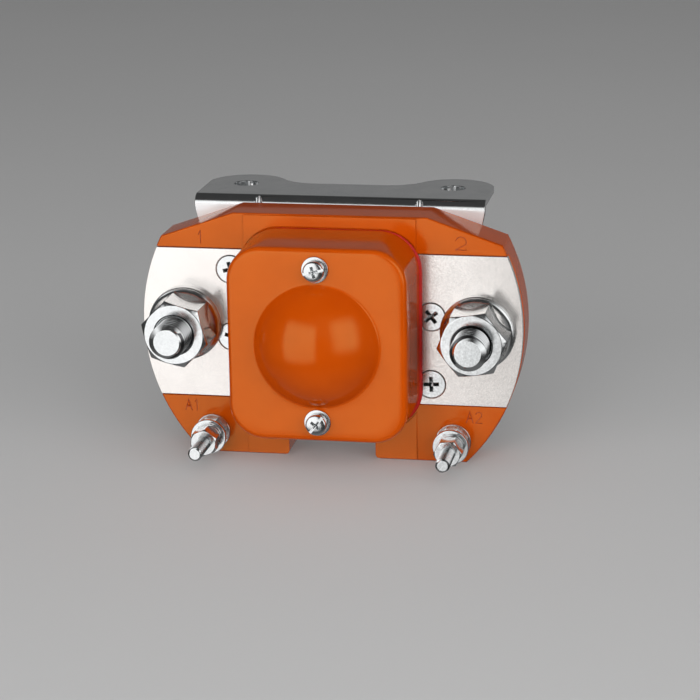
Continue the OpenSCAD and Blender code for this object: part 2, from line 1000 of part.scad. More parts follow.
module coil_spring_washers() {
    color(zinc)
        in_place()
            at_coil_studs()
                translate([0, 0, coil_spring_washer_z])
                    spring_washer(coil_spring_washer_d, coil_stud_d + 2 * thread_gap,
                                  coil_spring_washer_t);
}

module coil_nuts() {
    color(zinc)
        in_place()
            for (side = [0, 1])
                translate([(2 * side - 1) * coil_x, -coil_stud_low, coil_nut_z])
                    rotate(coil_nut_turns[side])
                        plain_nut(coil_nut_af, coil_nut_h, coil_stud_d * engaged_share + 2 * thread_gap);
}

// Bracket

// The L-shaped section, x = depth behind the head's face, y = height
module bracket_section() {
    inner_r = bend_r - bracket_t;
    difference() {
        union() {
            translate([bracket_d, -flange_low])
                square([bracket_t, bracket_top + flange_low - bend_r]);
            translate([bracket_d + bend_r, bracket_top - bracket_t])
                square([hole_back + 2 * ear_r, bracket_t]);
            translate([bracket_d + bend_r, bracket_top - bend_r])
                intersection() {
                    circle(r = bend_r);
                    translate([-bend_r, 0])
                        square(bend_r);
                }
        }
        translate([bracket_d + bend_r, bracket_top - bend_r])
            circle(r = inner_r);
    }
}

// Outline of the top leg, y = depth behind the head's face
module bracket_top_outline() {
    translate([-bend_half, bracket_d - 1])
        square([2 * bend_half, ear_d - bracket_d + 1]);
    translate([-sweep_x, bracket_d])
        square([2 * sweep_x, waist_d - bracket_d]);
    left_and_right(ear_x)
        translate([0, ear_d])
            circle(r = ear_r);
    for (flip = [0, 1])
        mirror([flip, 0])
            difference() {
                polygon([
                    [sweep_x, ear_d], [ear_x, ear_d], [ear_x, tangent_d],
                    [tangent_x, tangent_d], [sweep_x, waist_d]
                ]);
                translate([sweep_x, sweep_d])
                    circle(r = waist_sweep);
            }
}

// Outline of the leg behind the head: square at the bend, rounded below it,
// then straight in to the round seat of the coil can
module bracket_flange_outline() {
    corner_x = bend_half - flange_corner;
    corner_y = bracket_top - bend_r;
    gap = norm([corner_x, corner_y]);
    lean = atan2(corner_y, corner_x) - acos((rim_r - flange_corner) / gap);
    side = [cos(lean), sin(lean)];
    intersection() {
        union() {
            circle(r = rim_r);
            left_and_right(corner_x)
                translate([0, corner_y])
                    circle(r = flange_corner);
            translate([-bend_half, corner_y])
                square([2 * bend_half, bend_r + 1]);
            polygon([
                rim_r * side,
                [corner_x, corner_y] + flange_corner * side,
                [corner_x, corner_y], [-corner_x, corner_y],
                [-corner_x - flange_corner * side[0], corner_y + flange_corner * side[1]],
                [-rim_r * side[0], rim_r * side[1]]
            ]);
        }
        translate([-cut_l / 2, -flange_low])
            square([cut_l, cut_l]);
    }
}

// A dart pressed across the bend: bulges inside, hollow outside
module dart_rod(r) {
    sink = 0.4;
    translate([0, bracket_top - sink, -bracket_d - sink])
        rotate([dart_slope, 0, 0])
            cylinder(r = r, h = 12 * dart_r, center = true);
}

module dart_bulge() {
    half = dart_r + 2 * bracket_t;
    room = 12 * dart_r;
    intersection() {
        dart_rod(dart_r + bracket_t);
        translate([-half, bracket_top - room, -bracket_d - room])
            cube([2 * half, room - bracket_t / 2, room - bracket_t / 2]);
    }
}

module mounting_bracket() {
    color(sheet_zinc)
        in_place()
            difference() {
                union() {
                    intersection() {
                        rotate([0, 90, 0])
                            linear_extrude(cut_l, center = true)
                                bracket_section();
                        linear_extrude(2 * cut_l, center = true)
                            bracket_flange_outline();
                        rotate([-90, 0, 0])
                            linear_extrude(2 * cut_l, center = true)
                                bracket_top_outline();
                    }
                    left_and_right(dart_x)
                        dart_bulge();
                }
                left_and_right(dart_x)
                    dart_rod(dart_r);
                left_and_right(hole_pitch / 2)
                    translate([0, bracket_top + 1, -hole_y])
                        rotate([90, 0, 0])
                            cylinder(d = hole_d, h = bracket_t + 2);
                rod(pass_d, rim_z - 1, bracket_z + 1);
                at_frame_screws()
                    rod(sheet_hole_d, rim_z - 1, bracket_z + 1);
                left_and_right(lead_x)
                    translate([0, lead_y, 0])
                        rod(lead_hole_d, rim_z - 1, bracket_z + 1);
            }
}

// Coil can and magnet

module can_rim_outline() {
    intersection() {
        circle(r = rim_r);
        square(2 * rim_half, center = true);
    }
}

module can_profile(r, z_end, corner) {
    translate([0, z_end + corner])
        square([r, rim_z - z_end - corner]);
    translate([0, z_end])
        square([r - corner, corner + eps]);
    translate([r - corner, z_end + corner])
        circle(r = corner);
}

module coil_can() {
    color(sheet_zinc)
        in_place()
            difference() {
                union() {
                    rotate_extrude()
                        intersection() {
                            can_profile(can_d / 2, can_end_z, can_corner);
                            translate([0, can_end_z - 1])
                                square([can_d, can_l + 2]);
                        }
                    slab(rim_z - rim_t, rim_z)
                        can_rim_outline();
                }
                rod(can_d - 2 * can_t, can_floor_z, rim_z + 1);
                rod(spigot_d + 2 * seat_gap, can_end_z - 1, can_floor_z + 1);
                at_frame_screws()
                    rod(sheet_hole_d, rim_z - rim_t - 1, rim_z + 1);
            }
}

module frame_screws() {
    color(zinc)
        in_place()
            at_frame_screws()
                translate([0, 0, rim_z - rim_t])
                    mirror([0, 0, 1])
                        pan_screw(frame_screw_d, frame_screw_head, frame_screw_head_h,
                                  rim_t + bracket_t + frame_screw_grip);
}

module yoke_plate() {
    color(iron)
        in_place()
            difference() {
                ring(yoke_d, pass_d, yoke_z, rim_z);
                left_and_right(lead_x)
                    translate([0, lead_y, 0])
                        rod(lead_hole_d, yoke_z - 1, rim_z + 1);
            }
}

module coil_bobbin() {
    core_d = bobbin_bore_d + 2 * bobbin_wall;
    color(nylon)
        in_place()
            difference() {
                union() {
                    rod(core_d, can_floor_z, yoke_z);
                    rod(bobbin_d, can_floor_z, can_floor_z + bobbin_flange_t);
                    rod(bobbin_d, yoke_z - bobbin_flange_t, yoke_z);
                }
                rod(bobbin_bore_d, can_floor_z - 1, yoke_z + 1);
                left_and_right(lead_x)
                    translate([0, lead_y, 0])
                        rod(lead_hole_d, yoke_z - bobbin_flange_t - 1, yoke_z + 1);
            }
}

module coil_winding() {
    color(enamel_copper)
        in_place()
            ring(winding_d, bobbin_bore_d + 2 * bobbin_wall + 2 * seat_gap,
                 can_floor_z + bobbin_flange_t + seat_gap, yoke_z - bobbin_flange_t - seat_gap);
}

// One lead: out of the winding, along its channel and into a ring lug under the stud's head
module coil_lead() {
    run = [coil_x - lead_x, lead_y + coil_stud_low];
    bearing = -atan2(run[1], run[0]);
    translate([lead_x, lead_y, 0])
        rod(lead_d, yoke_z - bobbin_flange_t - seat_gap, channel_z);
    translate([lead_x, lead_y, channel_z])
        sphere(d = lead_d);
    translate([lead_x, lead_y, channel_z])
        rotate([0, 90, bearing])
            cylinder(d = lead_d, h = norm(run) - coil_nut_af / 2 - 1);
    translate([coil_x, -coil_stud_low, 0])
        ring(lug_d, coil_stud_d + 2 * thread_gap, lug_z, lug_z + lug_t);
    translate([lead_x, lead_y, lug_z])
        rotate(bearing)
            translate([norm(run) - lug_d / 2 - 3, -lead_d / 2, 0])
                cube([3.4, lead_d, lug_t]);
}

module coil_leads() {
    color(black)
        in_place()
            for (flip = [0, 1])
                mirror([flip, 0, 0])
                    coil_lead();
}

module guide_tube() {
    color(brass)
        in_place()
            ring(tube_d, tube_d - 2 * tube_t, can_floor_z, yoke_z);
}

module pole_core() {
    color(iron)
        in_place()
            difference() {
                union() {
                    rod(plunger_d, can_floor_z, pole_z);
                    rod(spigot_d, can_end_z - eps, can_floor_z + eps);
                    translate([0, 0, can_end_z - stake_h])
                        cylinder(d1 = stake_d - 2, d2 = stake_d, h = stake_h);
                }
                rod(spring_pocket_d, pole_z - pole_pocket, pole_z + 1);
            }
}

module guide_bush() {
    color(brass)
        in_place()
            difference() {
                union() {
                    rod(bush_d, bush_seat_z - eps, bush_front_z);
                    rod(bush_flange_d, bush_seat_z - bush_flange_t, bush_seat_z);
                }
                rod(shaft_d + 2 * run_gap, bracket_z, 1);
            }
}

module rest_buffer() {
    color(black)
        in_place()
            ring(bush_flange_d, shaft_d + 2, buffer_z, buffer_z + buffer_t);
}

module fixed_contacts() {
    color(silver)
        in_place()
            left_and_right(contact_x)
                flat_washer(contact_d, 0, fixed_tip_t);
}

module return_spring() {
    spring_z = pole_z - pole_pocket;
    color(iron)
        in_place()
            translate([0, 0, spring_z + seat_gap])
                coil_spring(return_spring_d, return_wire_d,
                            plunger_rear_z + plunger_pocket - spring_z - 2 * seat_gap, 8);
}

// Armature

module plunger() {
    edge = 0.5;
    color(iron)
        in_place()
            difference() {
                translate([0, 0, plunger_rear_z])
                    rotate_extrude()
                        polygon([
                            [0, 0], [plunger_d / 2 - edge, 0], [plunger_d / 2, edge],
                            [plunger_d / 2, plunger_front_z - plunger_rear_z - edge],
                            [plunger_d / 2 - edge, plunger_front_z - plunger_rear_z],
                            [0, plunger_front_z - plunger_rear_z]
                        ]);
                rod(spring_pocket_d, plunger_rear_z - 1, plunger_rear_z + plunger_pocket);
                rod(shaft_d + 2 * eps, plunger_front_z - shaft_grip, plunger_front_z + 1);
            }
}

module plunger_shaft() {
    collar_z = bridge_tip_z - collar_t;
    color(zinc)
        in_place()
            difference() {
                union() {
                    rod(shaft_d, plunger_front_z - shaft_grip, shaft_front_z);
                    rod(collar_d, collar_z, bridge_tip_z);
                }
                ring(2 * shaft_d, groove_d, clip_z, clip_z + clip_t);
            }
}

module bridge_bush() {
    color(nylon)
        in_place()
            difference() {
                union() {
                    rod(sleeve_flange_d, bridge_tip_z, bridge_z);
                    rod(sleeve_d, bridge_z - eps, bridge_front_z);
                }
                rod(shaft_d + 2 * seat_gap, 0, bridge_front_z + 1);
            }
}

module contact_bridge() {
    color(copper)
        in_place()
            difference() {
                slab(bridge_z, bridge_front_z)
                    rounded_rect(bridge_half, bridge_w / 2, 3);
                rod(sleeve_d + 2 * seat_gap, 0, bridge_front_z + 1);
            }
}

module bridge_contacts() {
    color(silver)
        in_place()
            left_and_right(contact_x)
                translate([0, 0, bridge_tip_z])
                    flat_washer(contact_d, 0, bridge_tip_t);
}

module bridge_washer() {
    color(nylon)
        in_place()
            ring(spring_seat_d, shaft_d + 2 * seat_gap,
                 bridge_front_z, bridge_front_z + bridge_washer_t);
}

module contact_spring() {
    color(iron)
        in_place()
            translate([0, 0, contact_spring_z])
                coil_spring(contact_spring_d, contact_wire_d, contact_spring_l, 5);
}

module spring_seat() {
    color(zinc)
        in_place()
            ring(spring_seat_d, shaft_d + 2 * seat_gap,
                 spring_seat_z, spring_seat_z + spring_seat_t);
}

// An open clip in the shaft's groove
module shaft_clip() {
    color(iron)
        in_place()
            difference() {
                ring(clip_d, groove_d + 2 * seat_gap, clip_z + seat_gap, clip_z + clip_t - seat_gap);
                translate([0, -clip_d / 2, clip_z])
                    cube([groove_d - 0.6, clip_d, 4 * clip_t], center = true);
            }
}

base_housing();
arc_cover();
cover_gasket();
terminal_plate_left();
terminal_plate_right();
terminal_stud_left();
terminal_stud_right();
terminal_washers();
terminal_nut_left();
terminal_nut_right();
plate_screws();
cover_screws();
cover_screw_spring_washers();
cover_screw_washers();
coil_studs();
coil_base_washers();
coil_jam_nuts();
coil_washers();
coil_spring_washers();
coil_nuts();
mounting_bracket();
coil_can();
frame_screws();
yoke_plate();
coil_bobbin();
coil_winding();
coil_leads();
guide_tube();
pole_core();
guide_bush();
rest_buffer();
fixed_contacts();
return_spring();
plunger();
plunger_shaft();
bridge_bush();
contact_bridge();
bridge_contacts();
bridge_washer();
contact_spring();
spring_seat();
shaft_clip();
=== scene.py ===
# %% [markdown]
# # A high voltage DC contactor
# The contactor is a moulded orange head that carries two heavy threaded studs, two small
# coil studs and a domed cover over the contacts. A bent sheet bracket holds it, and a round
# coil can stands behind it. The CAD model gives every piece its place and size. This script
# loads that model as a fixed frame and gives the pieces their rounded edges, threads and
# finishes. We start with the frame, because everything else is placed by it.

import math

import bmesh
import bpy
from mathutils import Matrix, Vector


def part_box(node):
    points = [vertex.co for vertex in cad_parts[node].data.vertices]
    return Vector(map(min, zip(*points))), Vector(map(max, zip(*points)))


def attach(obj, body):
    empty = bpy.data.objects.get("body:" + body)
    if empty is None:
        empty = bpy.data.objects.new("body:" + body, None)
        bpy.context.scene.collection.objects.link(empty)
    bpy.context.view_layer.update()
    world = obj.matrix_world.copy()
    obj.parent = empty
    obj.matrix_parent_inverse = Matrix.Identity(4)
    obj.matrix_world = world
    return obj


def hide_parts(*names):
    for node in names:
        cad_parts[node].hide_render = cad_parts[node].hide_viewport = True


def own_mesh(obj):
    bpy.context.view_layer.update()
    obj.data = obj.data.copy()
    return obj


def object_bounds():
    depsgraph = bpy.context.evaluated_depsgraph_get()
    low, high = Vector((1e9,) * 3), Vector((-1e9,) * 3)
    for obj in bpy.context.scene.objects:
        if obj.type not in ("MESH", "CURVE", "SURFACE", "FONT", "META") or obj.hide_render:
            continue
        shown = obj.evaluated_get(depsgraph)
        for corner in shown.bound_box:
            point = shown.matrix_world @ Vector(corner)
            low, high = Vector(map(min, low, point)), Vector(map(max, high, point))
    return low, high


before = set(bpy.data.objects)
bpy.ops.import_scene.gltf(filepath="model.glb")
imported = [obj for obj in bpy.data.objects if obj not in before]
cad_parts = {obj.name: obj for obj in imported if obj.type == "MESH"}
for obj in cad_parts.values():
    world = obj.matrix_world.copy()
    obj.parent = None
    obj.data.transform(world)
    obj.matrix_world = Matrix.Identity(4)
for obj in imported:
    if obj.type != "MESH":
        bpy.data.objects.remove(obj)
cad_low, cad_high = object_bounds()
scene = bpy.context.scene
print("CAD box in mm:", [round(1000 * (b - a), 1) for a, b in zip(cad_low, cad_high)])

# %% [markdown]
# The front view is the natural drawing of this object: x to the right, y up, z towards the
# viewer, with z = 0 on the terminal plates and the plunger axis at x = y = 0. One matrix
# turns such a drawing, in millimetres, upright and puts it in the frame, in metres. Its
# place comes from two CAD boxes, so nothing has to be fitted by eye.

# %% From the drawing to the frame
MM = 0.001
face_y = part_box("terminal_plate_right")[0].y
cover_low, cover_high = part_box("arc_cover")
axis_z = (cover_low.z + cover_high.z) / 2
PLACE = (Matrix.Translation((0, face_y, axis_z)) @ Matrix.Rotation(math.pi / 2, 4, "X")
         @ Matrix.Scale(MM, 4))
floor_z = cad_low.z


def levels(node):
    """Rear and front of a CAD node along the drawing's z, in millimetres."""
    low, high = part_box(node)
    return (face_y - high.y) / MM, (face_y - low.y) / MM


def middle(node):
    """Centre of a CAD node in the drawing's x and y, in millimetres."""
    low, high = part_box(node)
    return (low.x + high.x) / 2 / MM, ((low.z + high.z) / 2 - axis_z) / MM


def spans(node):
    """Width and height of a CAD node in the drawing, in millimetres."""
    low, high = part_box(node)
    return (high.x - low.x) / MM, (high.z - low.z) / MM


print("front face at y", round(face_y / MM, 2), "mm, axis at z", round(axis_z / MM, 2), "mm")

# %% [markdown]
# The photograph was taken from a little to the right and above, with a long lens. The
# camera's direction is given by its yaw, elevation and roll, and the three axes of its
# rotation are built from them directly, which is plainer than a tracking constraint.

# %% Camera
YAW, ELEVATION, ROLL = (math.radians(a) for a in (10.64, 16.01, -0.83))
CAMERA_AT = Vector((116.1, -620.0, 132.1)) * MM
SENSOR_MM, LENS_MM, CLIP_M = 36, 115.7, 0.01
forward = -Vector((math.sin(YAW) * math.cos(ELEVATION), -math.cos(YAW) * math.cos(ELEVATION),
                   math.sin(ELEVATION)))
level_right = forward.cross(Vector((0, 0, 1))).normalized()
level_up = level_right.cross(forward)
right = math.cos(ROLL) * level_right + math.sin(ROLL) * level_up
above = -math.sin(ROLL) * level_right + math.cos(ROLL) * level_up
camera = bpy.data.objects.new("camera", bpy.data.cameras.new("camera"))
camera.data.sensor_width = SENSOR_MM
camera.data.lens = LENS_MM
camera.data.clip_start = CLIP_M
camera.matrix_world = (Matrix.Translation(CAMERA_AT)
                       @ Matrix((right, above, -forward)).transposed().to_4x4())
scene.collection.objects.link(camera)
scene.camera = camera
print("camera", [round(c, 3) for c in camera.location], "lens", camera.data.lens)

# %% [markdown]
# Every finish is a small tree of shader nodes on Object coordinates, so a pattern stays on
# its piece from any side. A real surface varies a little in gloss, colour and level. One
# helper starts a tree, a second adds a noise pattern, and three more let the pattern vary
# the gloss, tint the colour and emboss the surface. Nearly all of a noise lies between 0.3
# and 0.7, so that is the range they read.

# %% Helpers for finishes
NOISE_LOW, NOISE_HIGH = 0.3, 0.7


def start_finish(name, color, metallic, roughness):
    finish = bpy.data.materials.new(name)
    finish.use_nodes = True
    tree = finish.node_tree
    shader = tree.nodes["Principled BSDF"]
    shader.inputs["Base Color"].default_value = (*color, 1)
    shader.inputs["Metallic"].default_value = metallic
    shader.inputs["Roughness"].default_value = roughness
    place = tree.nodes.new("ShaderNodeTexCoord").outputs["Object"]
    return finish, tree, shader, place


def speckle(tree, place, scale, detail=3.0, stretch=(1, 1, 1)):
    spread = tree.nodes.new("ShaderNodeMapping")
    spread.inputs["Scale"].default_value = [scale * s for s in stretch]
    noise = tree.nodes.new("ShaderNodeTexNoise")
    noise.inputs["Scale"].default_value = 1
    noise.inputs["Detail"].default_value = detail
    tree.links.new(place, spread.inputs["Vector"])
    tree.links.new(spread.outputs["Vector"], noise.inputs["Vector"])
    return noise.outputs["Fac"]


def vary(tree, pattern, low, high, socket):
    span = tree.nodes.new("ShaderNodeMapRange")
    span.inputs["From Min"].default_value = NOISE_LOW
    span.inputs["From Max"].default_value = NOISE_HIGH
    span.inputs["To Min"].default_value = low
    span.inputs["To Max"].default_value = high
    tree.links.new(pattern, span.inputs["Value"])
    tree.links.new(span.outputs["Result"], socket)


def tint(tree, pattern, dark, light, socket):
    ramp = tree.nodes.new("ShaderNodeValToRGB")
    ramp.color_ramp.elements[0].position = NOISE_LOW
    ramp.color_ramp.elements[0].color = (*dark, 1)
    ramp.color_ramp.elements[1].position = NOISE_HIGH
    ramp.color_ramp.elements[1].color = (*light, 1)
    tree.links.new(pattern, ramp.inputs["Fac"])
    tree.links.new(ramp.outputs["Color"], socket)


def emboss(tree, shader, pattern, strength, depth_mm):
    bump = tree.nodes.new("ShaderNodeBump")
    bump.inputs["Strength"].default_value = strength
    bump.inputs["Distance"].default_value = depth_mm * MM
    tree.links.new(pattern, bump.inputs["Height"])
    tree.links.new(bump.outputs["Normal"], shader.inputs["Normal"])


# %% [markdown]
# The head and the cover are moulded in a glossy orange resin. Such a moulding has a faint
# cloudiness, gloss that changes slowly along the flow of the resin, and a skin like orange
# peel that only shows in the reflections. All three are noise at different scales.

# %% Orange moulding
def orange_moulding():
    finish, tree, shader, place = start_finish("orange moulding", (0.545, 0.068, 0.0006), 0, 0.25)
    clouds = speckle(tree, place, 70)
    tint(tree, clouds, (0.52, 0.062, 0.0), (0.57, 0.074, 0.0012), shader.inputs["Base Color"])
    vary(tree, speckle(tree, place, 160), 0.11, 0.17, shader.inputs["Roughness"])
    emboss(tree, shader, speckle(tree, place, 700, 2), 0.05, 0.05)
    shader.inputs["Specular IOR Level"].default_value = 0.72
    shader.inputs["Specular Tint"].default_value = (1.0, 1.0, 0.35, 1)
    return finish


moulding = orange_moulding()
print("made", moulding.name)

# %% [markdown]
# The metals are told apart by their gloss and their grain. The nuts, studs and screws are
# bright zinc, the bracket and the can are zinc-plated sheet with a rolled texture, and the
# terminal plates are tinned copper with a satin grain. One function makes them all. Two more
# read an attribute of the mesh: in the grooves of a thread a darker colour is mixed in as
# painted shade, and the bracket's front flange, on which the head is seated, has lost part
# of its mirror finish.

# %% Metals
# Range of the groove mask, from where the painted shade in a thread's grooves starts to where it is
# full.
GROOVE_STARTS, GROOVE_FULL = 0.08, 0.40


def metal(name, dark, light, gloss, grain, depth=0.02, strength=0.15, bare=1.0):
    finish, tree, shader, place = start_finish(name, light, bare, gloss[0])
    tint(tree, speckle(tree, place, 120), dark, light, shader.inputs["Base Color"])
    texture = speckle(tree, place, grain, 4)
    vary(tree, texture, gloss[0], gloss[1], shader.inputs["Roughness"])
    emboss(tree, shader, texture, strength, depth)
    return finish


def paint_shade_in_grooves(finish, groove_shade):
    """Painted shade: mixes a metal's colour towards a darker one where the mesh attribute "groove"
    is 1.
    """
    tree = finish.node_tree
    color = tree.nodes["Principled BSDF"].inputs["Base Color"]
    plain = color.links[0].from_socket
    groove = tree.nodes.new("ShaderNodeAttribute")
    groove.attribute_name = "groove"
    mix = tree.nodes.new("ShaderNodeMixRGB")
    mix.inputs["Color2"].default_value = (*groove_shade, 1)
    below = tree.nodes.new("ShaderNodeMapRange")
    below.inputs["From Min"].default_value = GROOVE_STARTS
    below.inputs["From Max"].default_value = GROOVE_FULL
    tree.links.new(groove.outputs["Fac"], below.inputs["Value"])
    tree.links.new(below.outputs["Result"], mix.inputs["Fac"])
    tree.links.new(plain, mix.inputs["Color1"])
    tree.links.new(mix.outputs["Color"], color)


def dull_on_seats(finish, bare):
    """Lets a metal lose its mirror finish where the mesh attribute "seat" is 1."""
    tree = finish.node_tree
    seat = tree.nodes.new("ShaderNodeAttribute")
    seat.attribute_name = "seat"
    span = tree.nodes.new("ShaderNodeMapRange")
    span.inputs["To Min"].default_value = 1
    span.inputs["To Max"].default_value = bare
    tree.links.new(seat.outputs["Fac"], span.inputs["Value"])
    tree.links.new(span.outputs["Result"], tree.nodes["Principled BSDF"].inputs["Metallic"])


bright_zinc = metal("bright zinc", (0.80, 0.82, 0.825), (0.92, 0.93, 0.935), (0.13, 0.24),
                    1500, depth=0.025, strength=0.2)
# The darker colour is painted shade in the roots of the threads.
paint_shade_in_grooves(bright_zinc, (0.16, 0.16, 0.165))
sheet_zinc = metal("zinc sheet", (0.82, 0.84, 0.85), (0.92, 0.935, 0.94), (0.13, 0.22), 1100,
                   depth=0.02, strength=0.12)
dull_on_seats(sheet_zinc, 0.45)
tinned_copper = metal("tinned copper", (0.94, 0.895, 0.86), (0.99, 0.945, 0.91), (0.15, 0.26),
                      2600, depth=0.03, strength=0.16, bare=0.85)
soft_iron = metal("soft iron", (0.36, 0.36, 0.37), (0.46, 0.46, 0.47), (0.35, 0.5), 700)
brass = metal("turned brass", (0.68, 0.50, 0.20), (0.80, 0.63, 0.30), (0.2, 0.32), 900)
bare_copper = metal("bare copper", (0.70, 0.33, 0.19), (0.80, 0.42, 0.26), (0.25, 0.4), 900)
contact_silver = metal("contact silver", (0.82, 0.82, 0.80), (0.92, 0.92, 0.90), (0.25, 0.38), 900)
spring_steel = metal("spring steel", (0.48, 0.49, 0.51), (0.60, 0.61, 0.63), (0.22, 0.35), 900)
print("made 8 metals, with dim grooves in", bright_zinc.name)

# %% [markdown]
# The rest are soft or insulating: the red rubber gasket, the black rubber buffer and wire
# sleeves, natural nylon and varnished wire. They have no metal in them, and differ in colour
# and in how dull they are. The winding's turns are a fine stripe along the coil's axis.

# %% Rubber, nylon and wire
def dull(name, dark, light, gloss, grain, stretch=(1, 1, 1), depth=0.05):
    finish, tree, shader, place = start_finish(name, light, 0, gloss[0])
    texture = speckle(tree, place, grain, 3, stretch)
    tint(tree, texture, dark, light, shader.inputs["Base Color"])
    vary(tree, texture, gloss[0], gloss[1], shader.inputs["Roughness"])
    emboss(tree, shader, texture, 0.2, depth)
    return finish


red_rubber = dull("red rubber", (0.42, 0.006, 0.003), (0.55, 0.011, 0.006), (0.6, 0.75), 800)
black_rubber = dull("black rubber", (0.02, 0.02, 0.02), (0.04, 0.04, 0.04), (0.5, 0.7), 800)
natural_nylon = dull("natural nylon", (0.72, 0.68, 0.56), (0.82, 0.79, 0.68), (0.35, 0.5), 300)
varnished_wire = dull("varnished wire", (0.22, 0.06, 0.015), (0.42, 0.14, 0.04), (0.2, 0.35), 60,
                      (1, 40, 1), 0.2)
print("made 4 dull finishes")

# %% [markdown]
# The pieces that show no detail beyond their CAD shape keep their CAD solid and only get a
# finish. That is nearly everything sealed inside the head and the can: the armature with its
# contact bridge and contact spring, the magnet and the coil.

# %% Finishes of the inner CAD pieces
inner_finishes = {
    soft_iron: ["yoke_plate", "pole_core", "plunger"],
    natural_nylon: ["coil_bobbin", "bridge_bush", "bridge_washer"],
    varnished_wire: ["coil_winding"],
    black_rubber: ["coil_leads", "rest_buffer"],
    brass: ["guide_tube", "guide_bush"],
    contact_silver: ["fixed_contacts", "bridge_contacts"],
    bare_copper: ["contact_bridge"],
    spring_steel: ["plunger_shaft", "contact_spring", "spring_seat", "shaft_clip"],
}
for finish, names in inner_finishes.items():
    for name in names:
        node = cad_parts[name]
        node.data.materials.clear()
        node.data.materials.append(finish)
print("finished", sum(len(names) for names in inner_finishes.values()), "inner pieces")

# %% [markdown]
# A few helpers turn shapes into pieces. They end the editing of a mesh, bake an object with
# its modifiers to a plain mesh, put a mesh into the scene, cut one shape out of another,
# smooth a mesh but keep its sharp edges, and move a drawing to its place. The last links a
# finished mesh, hangs it on the body it rides on and hides the CAD nodes it stands for.

# %% Helpers for pieces
def as_mesh(shape, name):
    mesh = bpy.data.meshes.new(name)
    shape.to_mesh(mesh)
    shape.free()
    return mesh


def baked(helper):
    graph = bpy.context.evaluated_depsgraph_get()
    mesh = bpy.data.meshes.new_from_object(helper.evaluated_get(graph), depsgraph=graph)
    drawing = helper.data
    bpy.data.objects.remove(helper)
    bpy.data.meshes.remove(drawing)
    return mesh


def helper_object(name, mesh):
    helper = bpy.data.objects.new(name, mesh)
    scene.collection.objects.link(helper)
    return helper


def cut_out(helper, tool):
    cut = helper.modifiers.new("cut", "BOOLEAN")
    cut.operation = "DIFFERENCE"
    cut.solver = "EXACT"
    cut.object = tool
    return cut


def smoothed(mesh, angle=40):
    mesh.shade_smooth()
    mesh.set_sharp_from_angle(angle=math.radians(angle))
    return mesh


def in_place(mesh):
    mesh.transform(PLACE)
    return mesh


def finished(name, mesh, finish, slot, *nodes):
    mesh.name = name
    if isinstance(finish, bpy.types.Material):
        mesh.materials.clear()
        mesh.materials.append(finish)
    piece = helper_object(name, mesh)
    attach(piece, "contactor")
    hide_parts(*nodes)
    print(name, "has", len(mesh.polygons), "faces")
    return piece


# %% [markdown]
# Nuts, spring washers, plates, the bracket and the can have the right shape in CAD, but
# their edges are knife sharp, and nothing made is. A copy of the CAD mesh has its loose
# triangles merged and its flat triangles joined, then a bevel breaks the outer edges and
# weighted normals keep the flats flat. This keeps every size of the CAD piece.

# %% A CAD piece with its edges broken
LOOSE_MM, FLAT_ANGLE = 0.002, 0.6


def flats_joined(drawn):
    """A copy of a mesh with its loose points merged and its flat triangles joined."""
    shape = bmesh.new()
    shape.from_mesh(drawn)
    bmesh.ops.remove_doubles(shape, verts=shape.verts, dist=LOOSE_MM * MM)
    bmesh.ops.dissolve_limit(shape, angle_limit=math.radians(FLAT_ANGLE), verts=shape.verts,
                             edges=shape.edges)
    return as_mesh(shape, drawn.name + "_soft")


def merged(node):
    return flats_joined(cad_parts[node].data)


def broken_edges(mesh, width_mm, angle):
    """Bevels the outer edges steeper than the angle, but not those of the second finish."""
    shape = bmesh.new()
    shape.from_mesh(mesh)
    weight = shape.edges.layers.float.new("bevel_weight_edge")
    for edge in shape.edges:
        steep = edge.is_convex and edge.calc_face_angle(0) > math.radians(angle)
        edge[weight] = float(steep and not any(face.material_index for face in edge.link_faces))
    shape.to_mesh(mesh)
    shape.free()
    helper = helper_object(mesh.name, mesh)
    broken = helper.modifiers.new("broken edges", "BEVEL")
    broken.width = width_mm * MM
    broken.segments = 2
    broken.limit_method = "WEIGHT"
    broken.use_clamp_overlap = False
    return baked(helper)


def evened(mesh, angle=180):
    """Flats shaded flat and broken edges round; edges steeper than the angle stay sharp."""
    helper = helper_object(mesh.name + "_even", smoothed(mesh, angle))
    even = helper.modifiers.new("even flats", "WEIGHTED_NORMAL")
    even.keep_sharp = True
    return baked(helper)


def softened(node, width_mm, angle=35):
    return evened(broken_edges(merged(node), width_mm, angle))


# %% [markdown]
# ## The head
# The terminals are told apart by plain marks sunk in the face: 1 and 2 at the main studs,
# A1 and A2 at the coil studs. Each stroke is a thin bar, and a boolean cuts the bars out of
# the head before its edges are broken. The bars carry a second finish, a darker orange that
# paints the shade in the sunk strokes, and it also tells the bevel to leave them sharp. Drawn
# strokes suit a mould better than a font does, because one narrow cutter makes them all.

# %% Strokes of the terminal marks
def numeral_two(x, y, w, h):
    bow = [(x + w / 2 - w / 2 * math.cos(a), y + h - w / 2 + w / 2 * math.sin(a))
           for a in (math.radians(d) for d in (15, 50, 90, 130, 170, 205))]
    return bow + [(x, y), (x + w, y)]


def letter_a(x, y, w, h):
    bar_y = y + h * 0.33
    return [[(x, y), (x + w / 2, y + h), (x + w, y)], [(x + w * 0.2, bar_y), (x + w * 0.8, bar_y)]]


marks = [
    [(-36.9, 25.2), (-36.3, 26.4), (-36.3, 22.8)],
    numeral_two(34.9, 22.9, 3.0, 3.7),
    *letter_a(-42.2, -25.9, 1.9, 3.2),
    [(-39.4, -23.3), (-38.9, -22.7), (-38.9, -25.9)],
    *letter_a(37.9, -26.2, 1.9, 3.2),
    numeral_two(40.5, -26.2, 1.7, 3.2),
]
STROKE_W, STROKE_DEEP = 0.24, 0.14


